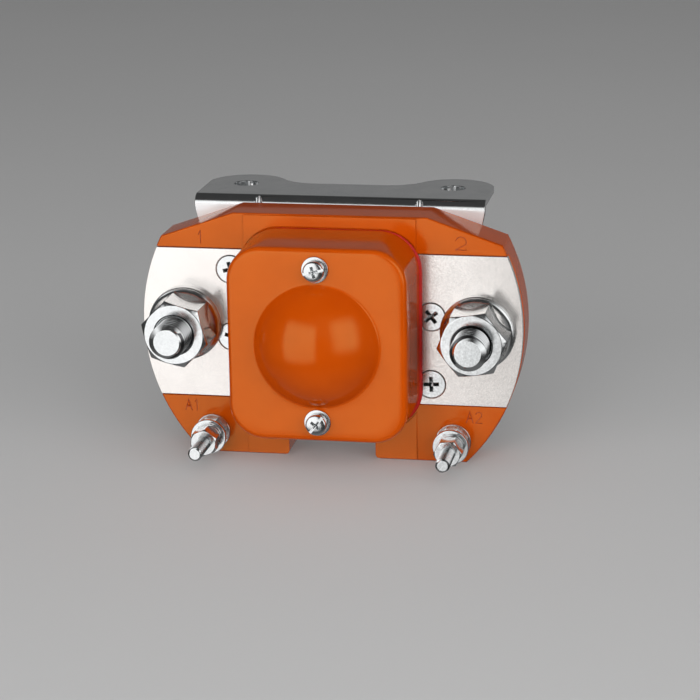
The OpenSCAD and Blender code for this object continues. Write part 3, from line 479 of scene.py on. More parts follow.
def stroke_bars():
    shape = bmesh.new()
    for line in marks:
        for (x0, y0), (x1, y1) in zip(line, line[1:]):
            long = math.hypot(x1 - x0, y1 - y0) + STROKE_W
            turn = Matrix.Rotation(math.atan2(y1 - y0, x1 - x0), 4, "Z")
            spot = Matrix.Translation(((x0 + x1) / 2, (y0 + y1) / 2, 0))
            bmesh.ops.create_cube(shape, matrix=spot @ turn @ Matrix.Diagonal(
                (long, STROKE_W, 2 * STROKE_DEEP, 1)))
    return in_place(as_mesh(shape, "stroke_bars"))


# %% The head with its marks
HEAD_EDGE, HEAD_ANGLE = 0.12, 50
# The strokes' second finish is a darker orange: painted shade in the sunk strokes.
painted_stroke_shade = dull("dusty stroke", (0.36, 0.044, 0.001), (0.42, 0.054, 0.001), (0.4, 0.6), 800)
bars = helper_object("stroke_bars", stroke_bars())
head_mesh = merged("base_housing")
for finish in (moulding, painted_stroke_shade):
    bars.data.materials.append(finish)
    head_mesh.materials.append(finish)
for face in bars.data.polygons:
    face.material_index = 1
head_helper = helper_object("head_moulding", head_mesh)
cut_out(head_helper, bars).use_self = True
head_mesh = evened(broken_edges(baked(head_helper), HEAD_EDGE, HEAD_ANGLE), HEAD_ANGLE)
bpy.data.objects.remove(bars)
finished("head_moulding", head_mesh, (moulding, painted_stroke_shade), "moulding", "base_housing")

# %% [markdown]
# ## The arc cover
# The cover is a box with round corners that tapers a little towards the front, with a dome
# in its middle. All its sections are rounded rectangles or circles, so it is lofted: rings
# with the same number of points, joined in order from the inner top, down the inside, round
# the rim, up the outside and over the dome. A subdivided box would round its corners
# unevenly, and a loft gives each edge its own radius.

# %% Rings and lofts
CORNER, SIDE = 20, 16


def rounded_ring(half_x, half_y, radius, z):
    corners = []
    for turn, (sx, sy) in enumerate(((1, 1), (-1, 1), (-1, -1), (1, -1))):
        arc = [math.pi / 2 * (turn + step / CORNER) for step in range(CORNER + 1)]
        corners.append([Vector((sx * (half_x - radius) + radius * math.cos(a),
                                sy * (half_y - radius) + radius * math.sin(a), z)) for a in arc])
    ring = []
    for here, there in zip(corners, corners[1:] + corners[:1]):
        ring += here
        ring += [here[-1].lerp(there[0], step / SIDE) for step in range(1, SIDE)]
    return ring


def round_ring(pattern, radius, z):
    """A circle whose points lie in the same directions as those of another ring."""
    return [Vector((p.x, p.y, 0)).normalized() * radius + Vector((0, 0, z)) for p in pattern]


def lofted(name, rings, closed=False):
    shape = bmesh.new()
    made = [[shape.verts.new(p) for p in ring] for ring in rings]
    pairs = list(zip(made, made[1:] + made[:1]) if closed else zip(made, made[1:]))
    for low, high in pairs:
        count = max(len(low), len(high))
        for i in range(count):
            j = (i + 1) % count
            corners = [low[i % len(low)], low[j % len(low)],
                       high[j % len(high)], high[i % len(high)]]
            shape.faces.new(list(dict.fromkeys(corners)))
    bmesh.ops.recalc_face_normals(shape, faces=shape.faces)
    return as_mesh(shape, name)


# %% Sizes of the cover, from its CAD box and the drawing
cover_front = 20.3
cover_foot, cover_top = levels("arc_cover")
BASE_X, BASE_Y = (span / 2 for span in spans("arc_cover"))
FRONT_X, FRONT_Y, BASE_R, FRONT_R = 24.6, 26.9, 11.0, 9.6
DOME_R, WALL, EDGE, INNER_EDGE, FILLET = 17.1, 2.5, 1.5, 0.4, 0.9
WALL_STEPS, FILLET_STEPS, DOME_STEPS, HOLLOW_STEPS, FACE_STEPS = 6, 5, 24, 12, 5
LOFT_ANGLE = 50
dome_h = cover_top - cover_front
ball_r = (DOME_R ** 2 + dome_h ** 2) / (2 * dome_h)
ball_z = cover_top - ball_r
print("cover from z", round(cover_foot, 2), "to", round(cover_top, 2), "mm, dome ball",
      round(ball_r, 2), "mm")


# %% The cover's rings
def cover_wall(shrink, edge, z0, z1):
    def at(t, inset, z):
        ends = ((BASE_X, FRONT_X), (BASE_Y, FRONT_Y), (BASE_R, FRONT_R))
        return rounded_ring(*(a + (b - a) * t - shrink - inset for a, b in ends), z)
    rings = [at(k / WALL_STEPS, 0, z0 + (z1 - edge - z0) * k / WALL_STEPS)
             for k in range(WALL_STEPS + 1)]
    for k in range(1, WALL_STEPS + 1):
        a = math.pi / 2 * k / WALL_STEPS
        rings.append(at(1, edge * (1 - math.cos(a)), z1 - edge + edge * math.sin(a)))
    return rings


def dome_rings(pattern, ball, z_face, z_top):
    """From the flat face into a small fillet, then over the ball to its top."""
    lift = z_face + FILLET - (z_top - ball)
    reach = math.sqrt((ball + FILLET) ** 2 - lift ** 2)
    lean = math.atan2(reach, lift)
    rings = [round_ring(pattern, reach - FILLET * math.sin(lean * k / FILLET_STEPS),
                        z_face + FILLET * (1 - math.cos(lean * k / FILLET_STEPS)))
             for k in range(FILLET_STEPS + 1)]
    for k in range(1, DOME_STEPS):
        a = lean * (1 - k / DOME_STEPS)
        rings.append(round_ring(pattern, ball * math.sin(a), z_top - ball + ball * math.cos(a)))
    return rings + [[Vector((0, 0, z_top))]]


def face_rings(outer, inner):
    return [[p.lerp(q, k / FACE_STEPS) for p, q in zip(outer, inner)]
            for k in range(1, FACE_STEPS)]


outside = cover_wall(0, EDGE, cover_foot, cover_front)
dome = dome_rings(outside[-1], ball_r, cover_front, cover_top)
outside += face_rings(outside[-1], dome[0]) + dome
inside = cover_wall(WALL, INNER_EDGE, cover_foot, cover_front - WALL)
hollow_r = ball_r - WALL
hollow_lean = math.acos((cover_front - WALL - ball_z) / hollow_r)
hollow = [round_ring(inside[-1], hollow_r * math.sin(a), ball_z + hollow_r * math.cos(a))
          for a in (hollow_lean * (1 - k / HOLLOW_STEPS) for k in range(HOLLOW_STEPS))]
inside += face_rings(inside[-1], hollow[0]) + hollow + [[Vector((0, 0, cover_top - WALL))]]
cover_mesh = lofted("arc_cover_shell", inside[::-1] + outside)
finished("arc_cover_shell", smoothed(in_place(cover_mesh), LOFT_ANGLE), moulding, "moulding",
         "arc_cover")

# %% [markdown]
# ## The gasket
# A red rubber gasket seals the cover to the head, and its edge shows as a thin line round
# the cover's foot. It is the same rounded ring as the cover, lofted round a section whose
# outer edge bulges a little, as squeezed rubber does. It sits a trifle off centre, so its
# line is widest at the top right.

# %% Gasket
GASKET_LIP, OFF_CENTRE = 0.4, Vector((0.09, 0.11, 0))
gasket_foot, gasket_front = levels("cover_gasket")
gasket_t = gasket_front - gasket_foot
half_x, half_y = (span / 2 - GASKET_LIP for span in spans("cover_gasket"))
gasket_at = Vector((*middle("cover_gasket"), 0)) + OFF_CENTRE
section = [(-3, 0), (-0.2, 0), (0.12, 0.12), (0.25, 0.35), (0.28, 0.5), (0.25, 0.65),
           (0.12, 0.88), (-0.2, 1), (-3, 1)]
gasket_rings = []
for out, up in section:
    ring = rounded_ring(half_x + out, half_y + out, BASE_R + out, up * gasket_t)
    gasket_rings.append([gasket_at + p for p in ring])
gasket_mesh = lofted("cover_gasket_seal", gasket_rings, closed=True)
finished("cover_gasket_seal", smoothed(in_place(gasket_mesh), LOFT_ANGLE), red_rubber, "gasket",
         "cover_gasket")

# %% [markdown]
# ## Plates, bracket and can
# These are sheet metal parts: punched plates, a bent bracket with two pressed darts, and a
# drawn can. Their CAD shapes are exact, so the edges are only broken, by one or two tenths
# of a millimetre, as barrel tumbling leaves them. The bracket's faces that look forward are
# marked as its seat, for the matt finish there.

# %% Sheet metal pieces
PLATE_EDGE, BRACKET_EDGE, CAN_EDGE, FORWARD = 0.12, 0.18, 0.2, 0.99
for side in ("left", "right"):
    plate = "terminal_plate_" + side
    finished(plate + "_tinned", softened(plate, PLATE_EDGE), tinned_copper, "tinned_copper", plate)
bracket_mesh = softened("mounting_bracket", BRACKET_EDGE)
seat = bracket_mesh.attributes.new("seat", "FLOAT", "FACE")
for face, value in zip(bracket_mesh.polygons, seat.data):
    value.value = float(face.normal.y < -FORWARD)
finished("bracket_sheet", bracket_mesh, sheet_zinc, "zinc_sheet", "mounting_bracket")
finished("coil_can_drawn", softened("coil_can", CAN_EDGE), sheet_zinc, "zinc_sheet", "coil_can")

# %% [markdown]
# ## Nuts and spring washers
# The main nuts have a conical flange and corners turned off at 30 degrees. The small nuts
# are plain hexagons. The spring washers are split rings. All of them get a broken edge
# that catches the light. Each row below is a piece, its CAD node, the width of its edges and
# the angle from which an edge is broken.

# %% Nuts and spring washers
for piece, node, width, angle in (
        ("main_nut_left", "terminal_nut_left", 0.14, 20),
        ("main_nut_right", "terminal_nut_right", 0.14, 20),
        ("small_nuts", "coil_nuts", 0.1, 20),
        ("jam_nuts", "coil_jam_nuts", 0.1, 20),
        ("split_washers", "coil_spring_washers", 0.12, 35),
        ("cover_split_washers", "cover_screw_spring_washers", 0.08, 35)):
    finished(piece, softened(node, width, angle), bright_zinc, "bright_zinc", node)

# %% [markdown]
# ## Threads
# A thread is a shape that follows a rule, so Geometry Nodes make it. A grid is rolled into
# a tube whose rows climb one pitch in each turn. Four rows make one pitch: two on the crest
# and two in the root. Rows that would leave the stud are held at its ends, and a flat cone
# cuts the tip. Because the rows follow the thread, the crest stays a clean line. The tree
# also marks the root rows with an attribute, which the zinc finish reads to paint shade
# into the grooves.

# %% A node tree for threads
AROUND, PER_PITCH, TURNS_BELOW = 56, 4, 2
CREST_FLAT, ROOT_FLAT, DEPTH_SHARE = 1 / 8, 1 / 4, 0.6
MERGE_MM, DEGENERATE_MM = 0.001, 0.0005


def math_node(tree, operation, *values):
    node = tree.nodes.new("ShaderNodeMath")
    node.operation = operation
    for socket, value in zip(node.inputs, values):
        if isinstance(value, bpy.types.NodeSocket):
            tree.links.new(value, socket)
        else:
            socket.default_value = value
    return node.outputs[0]


def start_tree(name, **inputs):
    """A tree with geometry in and out, and further inputs by name and kind."""
    tree = bpy.data.node_groups.new(name, "GeometryNodeTree")
    for way in ("OUTPUT", "INPUT"):
        tree.interface.new_socket("Geometry", in_out=way, socket_type="NodeSocketGeometry")
    for socket, kind in inputs.items():
        tree.interface.new_socket(socket, in_out="INPUT", socket_type="NodeSocket" + kind)
    return tree, tree.nodes.new("NodeGroupInput").outputs


def end_tree(tree, given, *chain):
    """Links nodes in a row, then real copies of all instances and the given finish."""
    whole = tree.nodes.new("GeometryNodeRealizeInstances")
    coated = tree.nodes.new("GeometryNodeSetMaterial")
    tree.links.new(given["Finish"], coated.inputs["Material"])
    row = [*chain, whole, coated, tree.nodes.new("NodeGroupOutput")]
    for one, two in zip(row, row[1:]):
        tree.links.new(one.outputs[0], two.inputs[0])
    return tree


def thread_tree():
    tree, given = start_tree("Thread", Diameter="Float", Pitch="Float", Length="Float", Tip="Float",
                             Taper="Float", Rows="Int", Finish="Material")

    def m(operation, *values):
        return math_node(tree, operation, *values)

    grid = tree.nodes.new("GeometryNodeMeshGrid")
    grid.inputs["Size X"].default_value = 1
    grid.inputs["Size Y"].default_value = 1
    grid.inputs["Vertices X"].default_value = AROUND + 1
    tree.links.new(given["Rows"], grid.inputs["Vertices Y"])
    spot = tree.nodes.new("ShaderNodeSeparateXYZ")
    tree.links.new(tree.nodes.new("GeometryNodeInputPosition").outputs[0], spot.inputs[0])
    last = m("SUBTRACT", given["Rows"], 1)
    along = m("ROUND", m("MULTIPLY", m("ADD", spot.outputs["Y"], 0.5), last))
    around = m("ADD", spot.outputs["X"], 0.5)
    row = m("FLOORED_MODULO", along, PER_PITCH)
    crest = m("LESS_THAN", row, 1.5)
    root = m("SUBTRACT", 1, crest)
    on_crest = m("MULTIPLY", m("SUBTRACT", row, 0.5), CREST_FLAT)
    in_root = m("ADD", m("MULTIPLY", m("SUBTRACT", row, 2.5), ROOT_FLAT), 0.5)
    phase = m("ADD", m("MULTIPLY", on_crest, crest), m("MULTIPLY", in_root, root))
    whole_turns = m("FLOOR", m("DIVIDE", along, PER_PITCH))
    turns = m("ADD", m("ADD", whole_turns, phase), m("SUBTRACT", around, TURNS_BELOW))
    climb = m("MULTIPLY", turns, given["Pitch"])
    height = m("MINIMUM", m("MAXIMUM", climb, 0), given["Length"])
    depth = m("MULTIPLY", given["Pitch"], DEPTH_SHARE)
    outer = m("MULTIPLY", given["Diameter"], 0.5)
    core = m("SUBTRACT", outer, depth)
    threaded = m("MULTIPLY", m("MULTIPLY", depth, crest), m("GREATER_THAN", climb, 0))
    from_end = m("DIVIDE", m("SUBTRACT", given["Length"], height), given["Taper"])
    cone = m("SUBTRACT", outer, m("MULTIPLY", given["Tip"], m("SUBTRACT", 1, from_end)))
    inner = m("MULTIPLY", m("GREATER_THAN", along, 0.5),
              m("LESS_THAN", along, m("SUBTRACT", last, 0.5)))
    radius = m("MULTIPLY", m("MINIMUM", m("ADD", core, threaded), cone), inner)
    angle = m("MULTIPLY", around, 2 * math.pi)
    rolled = tree.nodes.new("ShaderNodeCombineXYZ")
    for socket, value in zip(rolled.inputs, (m("MULTIPLY", radius, m("COSINE", angle)),
                                             m("MULTIPLY", radius, m("SINE", angle)), height)):
        tree.links.new(value, socket)
    # Mask of the root rows, for the painted shade in the grooves.
    groove = m("MULTIPLY", root, m("GREATER_THAN", from_end, 1))
    marked = tree.nodes.new("GeometryNodeStoreNamedAttribute")
    marked.inputs["Name"].default_value = "groove"
    tree.links.new(grid.outputs["Mesh"], marked.inputs["Geometry"])
    tree.links.new(groove, marked.inputs["Value"])
    moved = tree.nodes.new("GeometryNodeSetPosition")
    tree.links.new(marked.outputs["Geometry"], moved.inputs["Geometry"])
    tree.links.new(rolled.outputs[0], moved.inputs["Position"])
    sealed = tree.nodes.new("GeometryNodeMergeByDistance")
    sealed.inputs["Distance"].default_value = MERGE_MM
    return end_tree(tree, given, moved, sealed)


THREAD = thread_tree()
print("thread tree has", len(THREAD.nodes), "nodes")


# %% [markdown]
# A tree is used by giving a modifier its inputs by the sockets' identifiers, then baking the
# result. The thread comes out standing on z = 0, and is moved to where its stud starts. The
# cone at its tip is a share of the diameter.

# %% Threaded rods
TIP_SHARE, TAPER_SHARE = 0.14, 0.06


def with_tree(name, tree, mesh, **values):
    helper = helper_object(name, mesh)
    modifier = helper.modifiers.new(tree.name, "NODES")
    modifier.node_group = tree
    for item in tree.interface.items_tree:
        if item.in_out == "INPUT" and item.name in values:
            modifier[item.identifier] = values[item.name]
    return baked(helper)


def closed_outwards(mesh):
    shape = bmesh.new()
    shape.from_mesh(mesh)
    bmesh.ops.dissolve_degenerate(shape, dist=DEGENERATE_MM, edges=shape.edges)
    bmesh.ops.recalc_face_normals(shape, faces=shape.faces)
    shape.to_mesh(mesh)
    shape.free()
    return mesh


def threaded_rod(name, diameter, pitch, length):
    rows = PER_PITCH * (math.ceil(length / pitch) + 5) + 1
    mesh = with_tree(name, THREAD, bpy.data.meshes.new(name), Diameter=float(diameter),
                     Pitch=float(pitch), Length=float(length), Tip=TIP_SHARE * diameter,
                     Taper=TAPER_SHARE * diameter, Rows=rows, Finish=bright_zinc)
    return closed_outwards(mesh)


# %% [markdown]
# Each stud also has a hexagon head that is sunk in the moulding: the main studs' heads are
# hidden behind the plates, and the coil studs' heads show at the back. The head is lathed
# with six sides. Rod and head are joined into one mesh and repeated at both studs.

# %% Lathe and join
HEAD_CHAMFER = 0.3


def lathed(name, profile, around):
    rings = []
    for radius, z in profile:
        if radius == 0:
            rings.append([Vector((0, 0, z))])
        else:
            rings.append([Vector((radius * math.cos(2 * math.pi * i / around),
                                  radius * math.sin(2 * math.pi * i / around), z))
                          for i in range(around)])
    closed = profile[0][0] != 0
    return lofted(name, rings, closed)


def joined(name, *meshes):
    shape = bmesh.new()
    for mesh in meshes:
        shape.from_mesh(mesh)
        bpy.data.meshes.remove(mesh)
    return as_mesh(shape, name)


def moved_up(mesh, z):
    mesh.transform(Matrix.Translation((0, 0, z)))
    return mesh


def stud(name, diameter, pitch, foot, top, head_af, head_z):
    rod = moved_up(threaded_rod(name, diameter, pitch, top - foot), foot)
    corner = head_af / math.sqrt(3)
    head = lathed(name + "_head", [(0, head_z), (corner - HEAD_CHAMFER, head_z),
                                   (corner, head_z + HEAD_CHAMFER), (corner, foot), (0, foot)], 6)
    return joined(name, rod, head)


# %% [markdown]
# ## Repeating a piece
# Studs, screws and washers come in pairs and fours, so one of each is modelled and a second
# tree repeats it. Its spots are the points of a small mesh, and each spot has an attribute
# that turns its copy, because no two screws stop at the same angle.

# %% A node tree that repeats a piece at spots
def spots_tree():
    tree, given = start_tree("Repeat at spots", Piece="Object", Finish="Material")
    piece = tree.nodes.new("GeometryNodeObjectInfo")
    tree.links.new(given["Piece"], piece.inputs["Object"])
    turn = tree.nodes.new("GeometryNodeInputNamedAttribute")
    turn.data_type = "FLOAT"
    turn.inputs["Name"].default_value = "turn"
    about = tree.nodes.new("ShaderNodeCombineXYZ")
    tree.links.new(turn.outputs["Attribute"], about.inputs["Z"])
    copies = tree.nodes.new("GeometryNodeInstanceOnPoints")
    tree.links.new(given["Geometry"], copies.inputs["Points"])
    tree.links.new(piece.outputs["Geometry"], copies.inputs["Instance"])
    tree.links.new(about.outputs[0], copies.inputs["Rotation"])
    return end_tree(tree, given, copies)


SPOTS = spots_tree()


def repeated(name, mesh, spots, finish):
    """Copies of a drawn mesh at (x, y, turn in degrees), as one mesh in the frame."""
    source = helper_object(name + "_one", mesh)
    points = bpy.data.meshes.new(name)
    points.from_pydata([(x, y, 0) for x, y, _ in spots], [], [])
    turns = points.attributes.new("turn", "FLOAT", "POINT")
    for value, (_, _, turn) in zip(turns.data, spots):
        value.value = math.radians(turn)
    made = with_tree(name, SPOTS, points, Piece=source, Finish=finish)
    bpy.data.objects.remove(source)
    bpy.data.meshes.remove(mesh)
    return in_place(made)


print("repeat tree has", len(SPOTS.nodes), "nodes")

# %% Where the repeated pieces sit
def pair_x(node, wide):
    """Distance from the middle of two like pieces side by side, from their CAD box."""
    return (spans(node)[0] - wide) / 2


FRAME_HEAD_D, PLATE_HEAD_D = 7, 8
stud_x = middle("terminal_stud_right")[0]
coil_x = pair_x("coil_base_washers", spans("coil_base_washers")[1])
coil_y = middle("coil_base_washers")[1]
cover_screw_y = (spans("cover_screws")[1] - spans("cover_screws")[0]) / 2
frame_xy = pair_x("frame_screws", FRAME_HEAD_D)
plate_x = pair_x("plate_screws", PLATE_HEAD_D)
main_spots = [(-stud_x, 0, 0), (stud_x, 0, 0)]
coil_spots = [(-coil_x, coil_y, 0), (coil_x, coil_y, 200)]
cover_spots = [(0, cover_screw_y, 14), (0, -cover_screw_y, 52)]
print("studs at", round(stud_x, 2), "coil studs at", round(coil_x, 2), round(coil_y, 2),
      "cover screws at", round(cover_screw_y, 2), "frame screws at", round(frame_xy, 2))

# %% [markdown]
# The main studs are M10 with a pitch of 1.5 mm, the coil studs M4 with a pitch of 0.7 mm.
# The two main studs are separate CAD pieces, so each is a piece here too.

# %% Studs
MAIN_D, MAIN_PITCH, MAIN_HEAD_AF = 10, 1.5, 16
COIL_D, COIL_PITCH, COIL_HEAD_H = 4, 0.7, 3.2
STUD_ANGLE = 18
stud_foot, stud_top = levels("terminal_stud_right")
plate_rear = levels("terminal_plate_right")[0]
for side, x, turn in (("left", -stud_x, 100), ("right", stud_x, -75)):
    main_one = stud("main_stud", MAIN_D, MAIN_PITCH, plate_rear, stud_top, MAIN_HEAD_AF, stud_foot)
    main_mesh = repeated("main_stud_" + side, main_one, [(x, 0, turn)], bright_zinc)
    finished("main_stud_" + side, smoothed(main_mesh, STUD_ANGLE), bright_zinc, "bright_zinc",
             "terminal_stud_" + side)
coil_foot, coil_top = levels("coil_studs")
coil_one = stud("coil_stud", COIL_D, COIL_PITCH, coil_foot + COIL_HEAD_H, coil_top,
                spans("coil_studs")[1], coil_foot)
coil_mesh = repeated("coil_stud_pair", coil_one, coil_spots, bright_zinc)
finished("coil_stud_pair", smoothed(coil_mesh, STUD_ANGLE), bright_zinc, "bright_zinc",
         "coil_studs")

# %% [markdown]
# Flat washers are punched, so one edge is rounded and the other keeps a slight burr. A lathe
# profile with small radii shows that as a bright line round the rim.

# %% Washers
ROUND_SHARE, BURR, UNDERSIDE = 0.22, 0.05, 0.08
WASHER_ANGLE = 45


def washer(name, outer_d, bore_d, z, thick):
    o, i, b = outer_d / 2, bore_d / 2, thick * ROUND_SHARE
    profile = [(i, z + BURR), (i + BURR, z), (o - UNDERSIDE, z), (o, z + UNDERSIDE),
               (o, z + thick - b)]
    profile += [(o - b + b * math.cos(a), z + thick - b + b * math.sin(a))
                for a in (math.radians(d) for d in (30, 60, 90))]
    profile += [(i + b / 2, z + thick), (i, z + thick - b / 2)]
    return lathed(name, profile, 96)


def washers(name, node, bore_d, spots):
    z, front = levels(node)
    one = washer(name + "_ring", min(spans(node)), bore_d, z, front - z)
    mesh = repeated(name, one, spots, bright_zinc)
    finished(name, evened(mesh, WASHER_ANGLE), bright_zinc, "bright_zinc", node)


washers("main_flat_washers", "terminal_washers", 10.2, main_spots)
washers("coil_foot_washers", "coil_base_washers", 4.2, coil_spots)
washers("coil_flat_washers", "coil_washers", 4.2, coil_spots)
washers("cover_flat_washers", "cover_screw_washers", 3.2, cover_spots)

# %% [markdown]
# ## Screws
# The cover and the can are held by pan-head screws with a cross recess and a slot across
# it, the plates by countersunk cross-head screws. A head is lathed, and a tapered cross is
# cut out of it by a boolean. The cross narrows to a keel at its bottom, as a punch leaves
# it, so its steep walls mirror only each other and it looks dark.

# %% Screw heads
KEEL, CLEAR = 0.4, 0.5
SCREW_EDGE, SCREW_ANGLE, AROUND_HEAD = 0.06, 40, 72


def cross_punch(name, reach, width, depth, top):
    def ring(r, w, z):
        one = [(r, -w), (r, w), (w, w)]
        return [Vector((x * math.cos(t) - y * math.sin(t), x * math.sin(t) + y * math.cos(t), z))
                for t in (0, math.pi / 2, math.pi, 3 * math.pi / 2) for x, y in one]
    bottom = ring(reach * 0.6, width * 0.25, top - depth)
    rim = ring(reach * 1.05, width, top + CLEAR)
    return lofted(name, [[Vector((0, 0, top - depth - KEEL))], bottom, ring(reach, width, top), rim,
                         [Vector((0, 0, top + CLEAR))]])


def slot_bar(name, long, width, depth, top):
    shape = bmesh.new()
    bmesh.ops.create_cube(shape, matrix=Matrix.Translation((0, 0, top)) @ Matrix.Diagonal(
        (long, width, 2 * depth, 1)))
    return as_mesh(shape, name)


def punched(name, head, *punches):
    helper = helper_object(name, head)
    tools = [helper_object(name + "_punch", punch) for punch in punches]
    for tool in tools:
        cut_out(helper, tool)
    mesh = baked(helper)
    for tool in tools:
        bpy.data.objects.remove(tool)
    return mesh


def screws(name, one, spots, node):
    mesh = repeated(name, one, spots, bright_zinc)
    mesh = evened(broken_edges(flats_joined(mesh), SCREW_EDGE, SCREW_ANGLE), SCREW_ANGLE)
    finished(name, mesh, bright_zinc, "bright_zinc", node)


def pan_profile(seat, d, high, shank_d, shank_z):
    r, e = d / 2, high * 0.25
    crown = [(r - e + e * math.cos(a), seat + high * 0.9 - e + e * math.sin(a))
             for a in (math.radians(k) for k in (0, 20, 40, 60, 80))]
    crown += [(r * share, seat + high * (1 - 0.1 * share ** 2)) for share in (0.75, 0.5, 0.25)]
    shank = [(0, shank_z), (shank_d / 2, shank_z), (shank_d / 2, seat)]
    return [*shank, (r - 0.05, seat), *crown, (0, seat + high)]


# %% Cover screws
COVER_HEAD_D, COVER_HEAD_H, COVER_SHANK_D = 5.7, 2, 3
screw_foot, screw_top = levels("cover_screws")
cover_head = lathed("cover_screw", pan_profile(screw_top - COVER_HEAD_H, COVER_HEAD_D, COVER_HEAD_H,
                                               COVER_SHANK_D, screw_foot), AROUND_HEAD)
cover_screw = punched("cover_screw", cover_head, cross_punch("cross", 1.6, 0.42, 1.3, screw_top),
                      slot_bar("slot", 9, 0.75, 0.75, screw_top))
screws("cover_cross_screws", cover_screw, cover_spots, "cover_screws")

# %% Plate screws
sunk = [(0, -8), (2, -8), (2, -2.3), (3.8, -0.5), (3.85, -0.4), (3.85, -0.1), (3.75, 0), (0, 0)]
plate_screw = punched("plate_screw", lathed("plate_screw", sunk, AROUND_HEAD),
                      cross_punch("cross", 2.15, 0.55, 2.2, 0))
plate_spots = [(plate_x, 3.8, 38), (plate_x, -15.5, 2), (-plate_x, -3.8, 75), (-plate_x, 15.5, 14)]
screws("plate_cross_screws", plate_screw, plate_spots, "plate_screws")

# %% Frame screws, at the back
FRAME_HEAD_H, FRAME_SHANK_D, FRAME_SHANK_L = 2.4, 4, 10.6
rim_z = levels("frame_screws")[0] + FRAME_HEAD_H
frame_head = lathed("frame_screw", pan_profile(-rim_z, FRAME_HEAD_D, FRAME_HEAD_H, FRAME_SHANK_D,
                                               -rim_z - FRAME_SHANK_L), AROUND_HEAD)
frame_top = -rim_z + FRAME_HEAD_H
frame_screw = punched("frame_screw", frame_head, cross_punch("cross", 1.9, 0.5, 1.5, frame_top),
                      slot_bar("slot", 10, 0.85, 0.85, frame_top))
frame_screw.transform(Matrix.Rotation(math.pi, 4, "X"))
frame_spots = [(sx * frame_xy, sy * frame_xy, 37 * sx + 64 * sy)
               for sx in (-1, 1) for sy in (-1, 1)]
screws("frame_cross_screws", frame_screw, frame_spots, "frame_screws")

# %% [markdown]
# ## The return spring
# The return spring stands between the plunger and the fixed core behind it. When the
# armature slides, the spring's front end has to follow, or the plunger would cut into its
# coils. Here the spring is a smoothed copy of its CAD mesh, with a mesh of its own.

# %% Return spring
spring = finished("return_coil_spring", smoothed(merged("return_spring")), spring_steel,
                  "spring_steel", "return_spring")
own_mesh(spring)

# %% [markdown]
# ## Floor and light
# The floor is a plain pale sheet. Two large softboxes stand left and right of the camera,
# and reach below the level of the floor, so that the upright faces mirror them. Reflections
# therefore pass through the floor, while the camera sees it and the shadow on it. The boxes
# fade towards their rims, as cloth-covered ones do, and are just bright enough for metal to
# look white in them. Further panels light the floor and fill the shadows without showing in
# the gloss.

# %% Floor
FLOOR_DARK, FLOOR_MEAN, FLOOR_LIGHT = ((grey, grey, grey) for grey in (0.54, 0.55, 0.56))
FLOOR_GLOW, FLOOR_HALF = 0.10, 4


def pale_floor():
    finish, tree, shader, place = start_finish("pale floor", FLOOR_MEAN, 0, 0.9)
    tint(tree, speckle(tree, place, 3), FLOOR_DARK, FLOOR_LIGHT, shader.inputs["Base Color"])
    shader.inputs["Specular IOR Level"].default_value = 0.1
    ray = tree.nodes.new("ShaderNodeLightPath")
    shader.inputs["Emission Color"].default_value = (1, 1, 1, 1)
    tree.links.new(math_node(tree, "MULTIPLY", ray.outputs["Is Camera Ray"], FLOOR_GLOW),
                   shader.inputs["Emission Strength"])
    return finish


floor_mesh = bpy.data.meshes.new("floor")
floor_corners = [(x * FLOOR_HALF, y * FLOOR_HALF, floor_z)
                 for x, y in ((-1, -1), (1, -1), (1, 1), (-1, 1))]
floor_mesh.from_pydata(floor_corners, [], [(0, 1, 2, 3)])
floor_mesh.materials.append(pale_floor())
floor = helper_object("floor", floor_mesh)
floor.visible_glossy = False

# %% Softboxes
target = Vector((0, face_y, axis_z))


def fade_at_rim(lamp, rims):
    """Lets a panel's light fall off over shares of its width and height."""
    lamp.use_nodes = True
    tree = lamp.node_tree
    spot = tree.nodes.new("ShaderNodeSeparateXYZ")
    tree.links.new(tree.nodes.new("ShaderNodeNewGeometry").outputs["Parametric"], spot.inputs[0])
    shares = []
    for across, rim in zip((spot.outputs["X"], spot.outputs["Y"]), rims):
        from_rim = math_node(tree, "MINIMUM", across, math_node(tree, "SUBTRACT", 1, across))
        shares.append(math_node(tree, "MINIMUM", math_node(tree, "DIVIDE", from_rim, rim), 1))
    tree.links.new(math_node(tree, "MULTIPLY", *shares), tree.nodes["Emission"].inputs["Strength"])


def softbox(name, azimuth, elevation, distance, wide, high, glow, rims=None):
    """A panel aimed at the object; only one with faded rims shows in the gloss."""
    a, e = math.radians(azimuth), math.radians(elevation)
    lamp = bpy.data.lights.new(name, "AREA")
    lamp.shape = "RECTANGLE"
    lamp.size, lamp.size_y = wide, high
    lamp.energy = glow * math.pi * wide * high
    if rims:
        fade_at_rim(lamp, rims)
    box = bpy.data.objects.new(name, lamp)
    away = Vector((math.sin(a) * math.cos(e), -math.cos(a) * math.cos(e), math.sin(e)))
    box.matrix_world = (Matrix.Translation(target + away * distance)
                        @ away.to_track_quat("Z", "Y").to_matrix().to_4x4())
    box.visible_camera = False
    box.visible_glossy = rims is not None
    scene.collection.objects.link(box)
    print(name, "gives", round(lamp.energy, 2), "W")


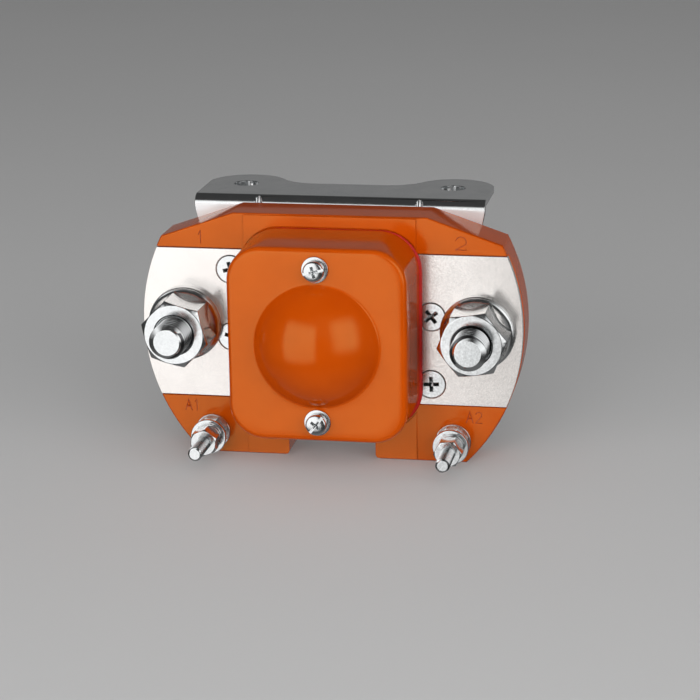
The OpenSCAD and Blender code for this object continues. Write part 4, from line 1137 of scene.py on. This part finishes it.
# Azimuth and elevation are in degrees, distance, width and height in metres.
softbox("left softbox", -27.8, 3, 0.95, 1.02, 1.28, 1.12, (0.10, 0.20))
softbox("right softbox", 46, 14, 0.95, 0.92, 1.10, 1.15, (0.25, 0.25))
softbox("left fill", -31, 12, 1.0, 0.86, 0.6, 1.6)
softbox("right fill", 60, 12, 1.0, 0.6, 0.6, 2.0)
softbox("high fill", 10, 28, 0.95, 0.9, 0.6, 2.0)
softbox("low fill", -8, -3.2, 0.62, 0.9, 0.10, 1.8)
softbox("overhead fill", 0, 82, 1.7, 2.6, 2.6, 0.31)

# %% [markdown]
# Behind the object a grey backdrop shows in the bracket's top face. Above and beside it the
# studio is dark, which gives the metal its dark bands. Well below, reflections that pass
# through the floor meet a grey in its place. All three are gradients in the world.

# %% World
STUDIO_DARK, BACKDROP_GREY, BELOW_GREY = 0.04, 0.15, 0.10


def studio_world():
    world = bpy.data.worlds.new("studio")
    world.use_nodes = True
    tree = world.node_tree
    way = tree.nodes.new("ShaderNodeSeparateXYZ")
    tree.links.new(tree.nodes.new("ShaderNodeTexCoord").outputs["Generated"], way.inputs[0])

    def fade(value, start, end):
        ramp = tree.nodes.new("ShaderNodeMapRange")
        ramp.interpolation_type = "SMOOTHSTEP"
        ramp.inputs["From Min"].default_value = start
        ramp.inputs["From Max"].default_value = end
        tree.links.new(value, ramp.inputs["Value"])
        return ramp.outputs["Result"]

    behind = math_node(tree, "MULTIPLY", fade(way.outputs["Y"], 0.1, 0.6),
                       fade(way.outputs["Z"], 0.6, 0.3))
    below = fade(way.outputs["Z"], -0.45, -0.8)
    level = math_node(tree, "ADD", math_node(tree, "MULTIPLY", behind, BACKDROP_GREY), STUDIO_DARK)
    level = math_node(tree, "ADD", level, math_node(tree, "MULTIPLY", below, BELOW_GREY))
    tree.links.new(level, tree.nodes["Background"].inputs["Strength"])
    tree.nodes["Background"].inputs["Color"].default_value = (1, 1, 1, 1)
    return world


scene.world = studio_world()
scene.view_settings.view_transform = "Standard"
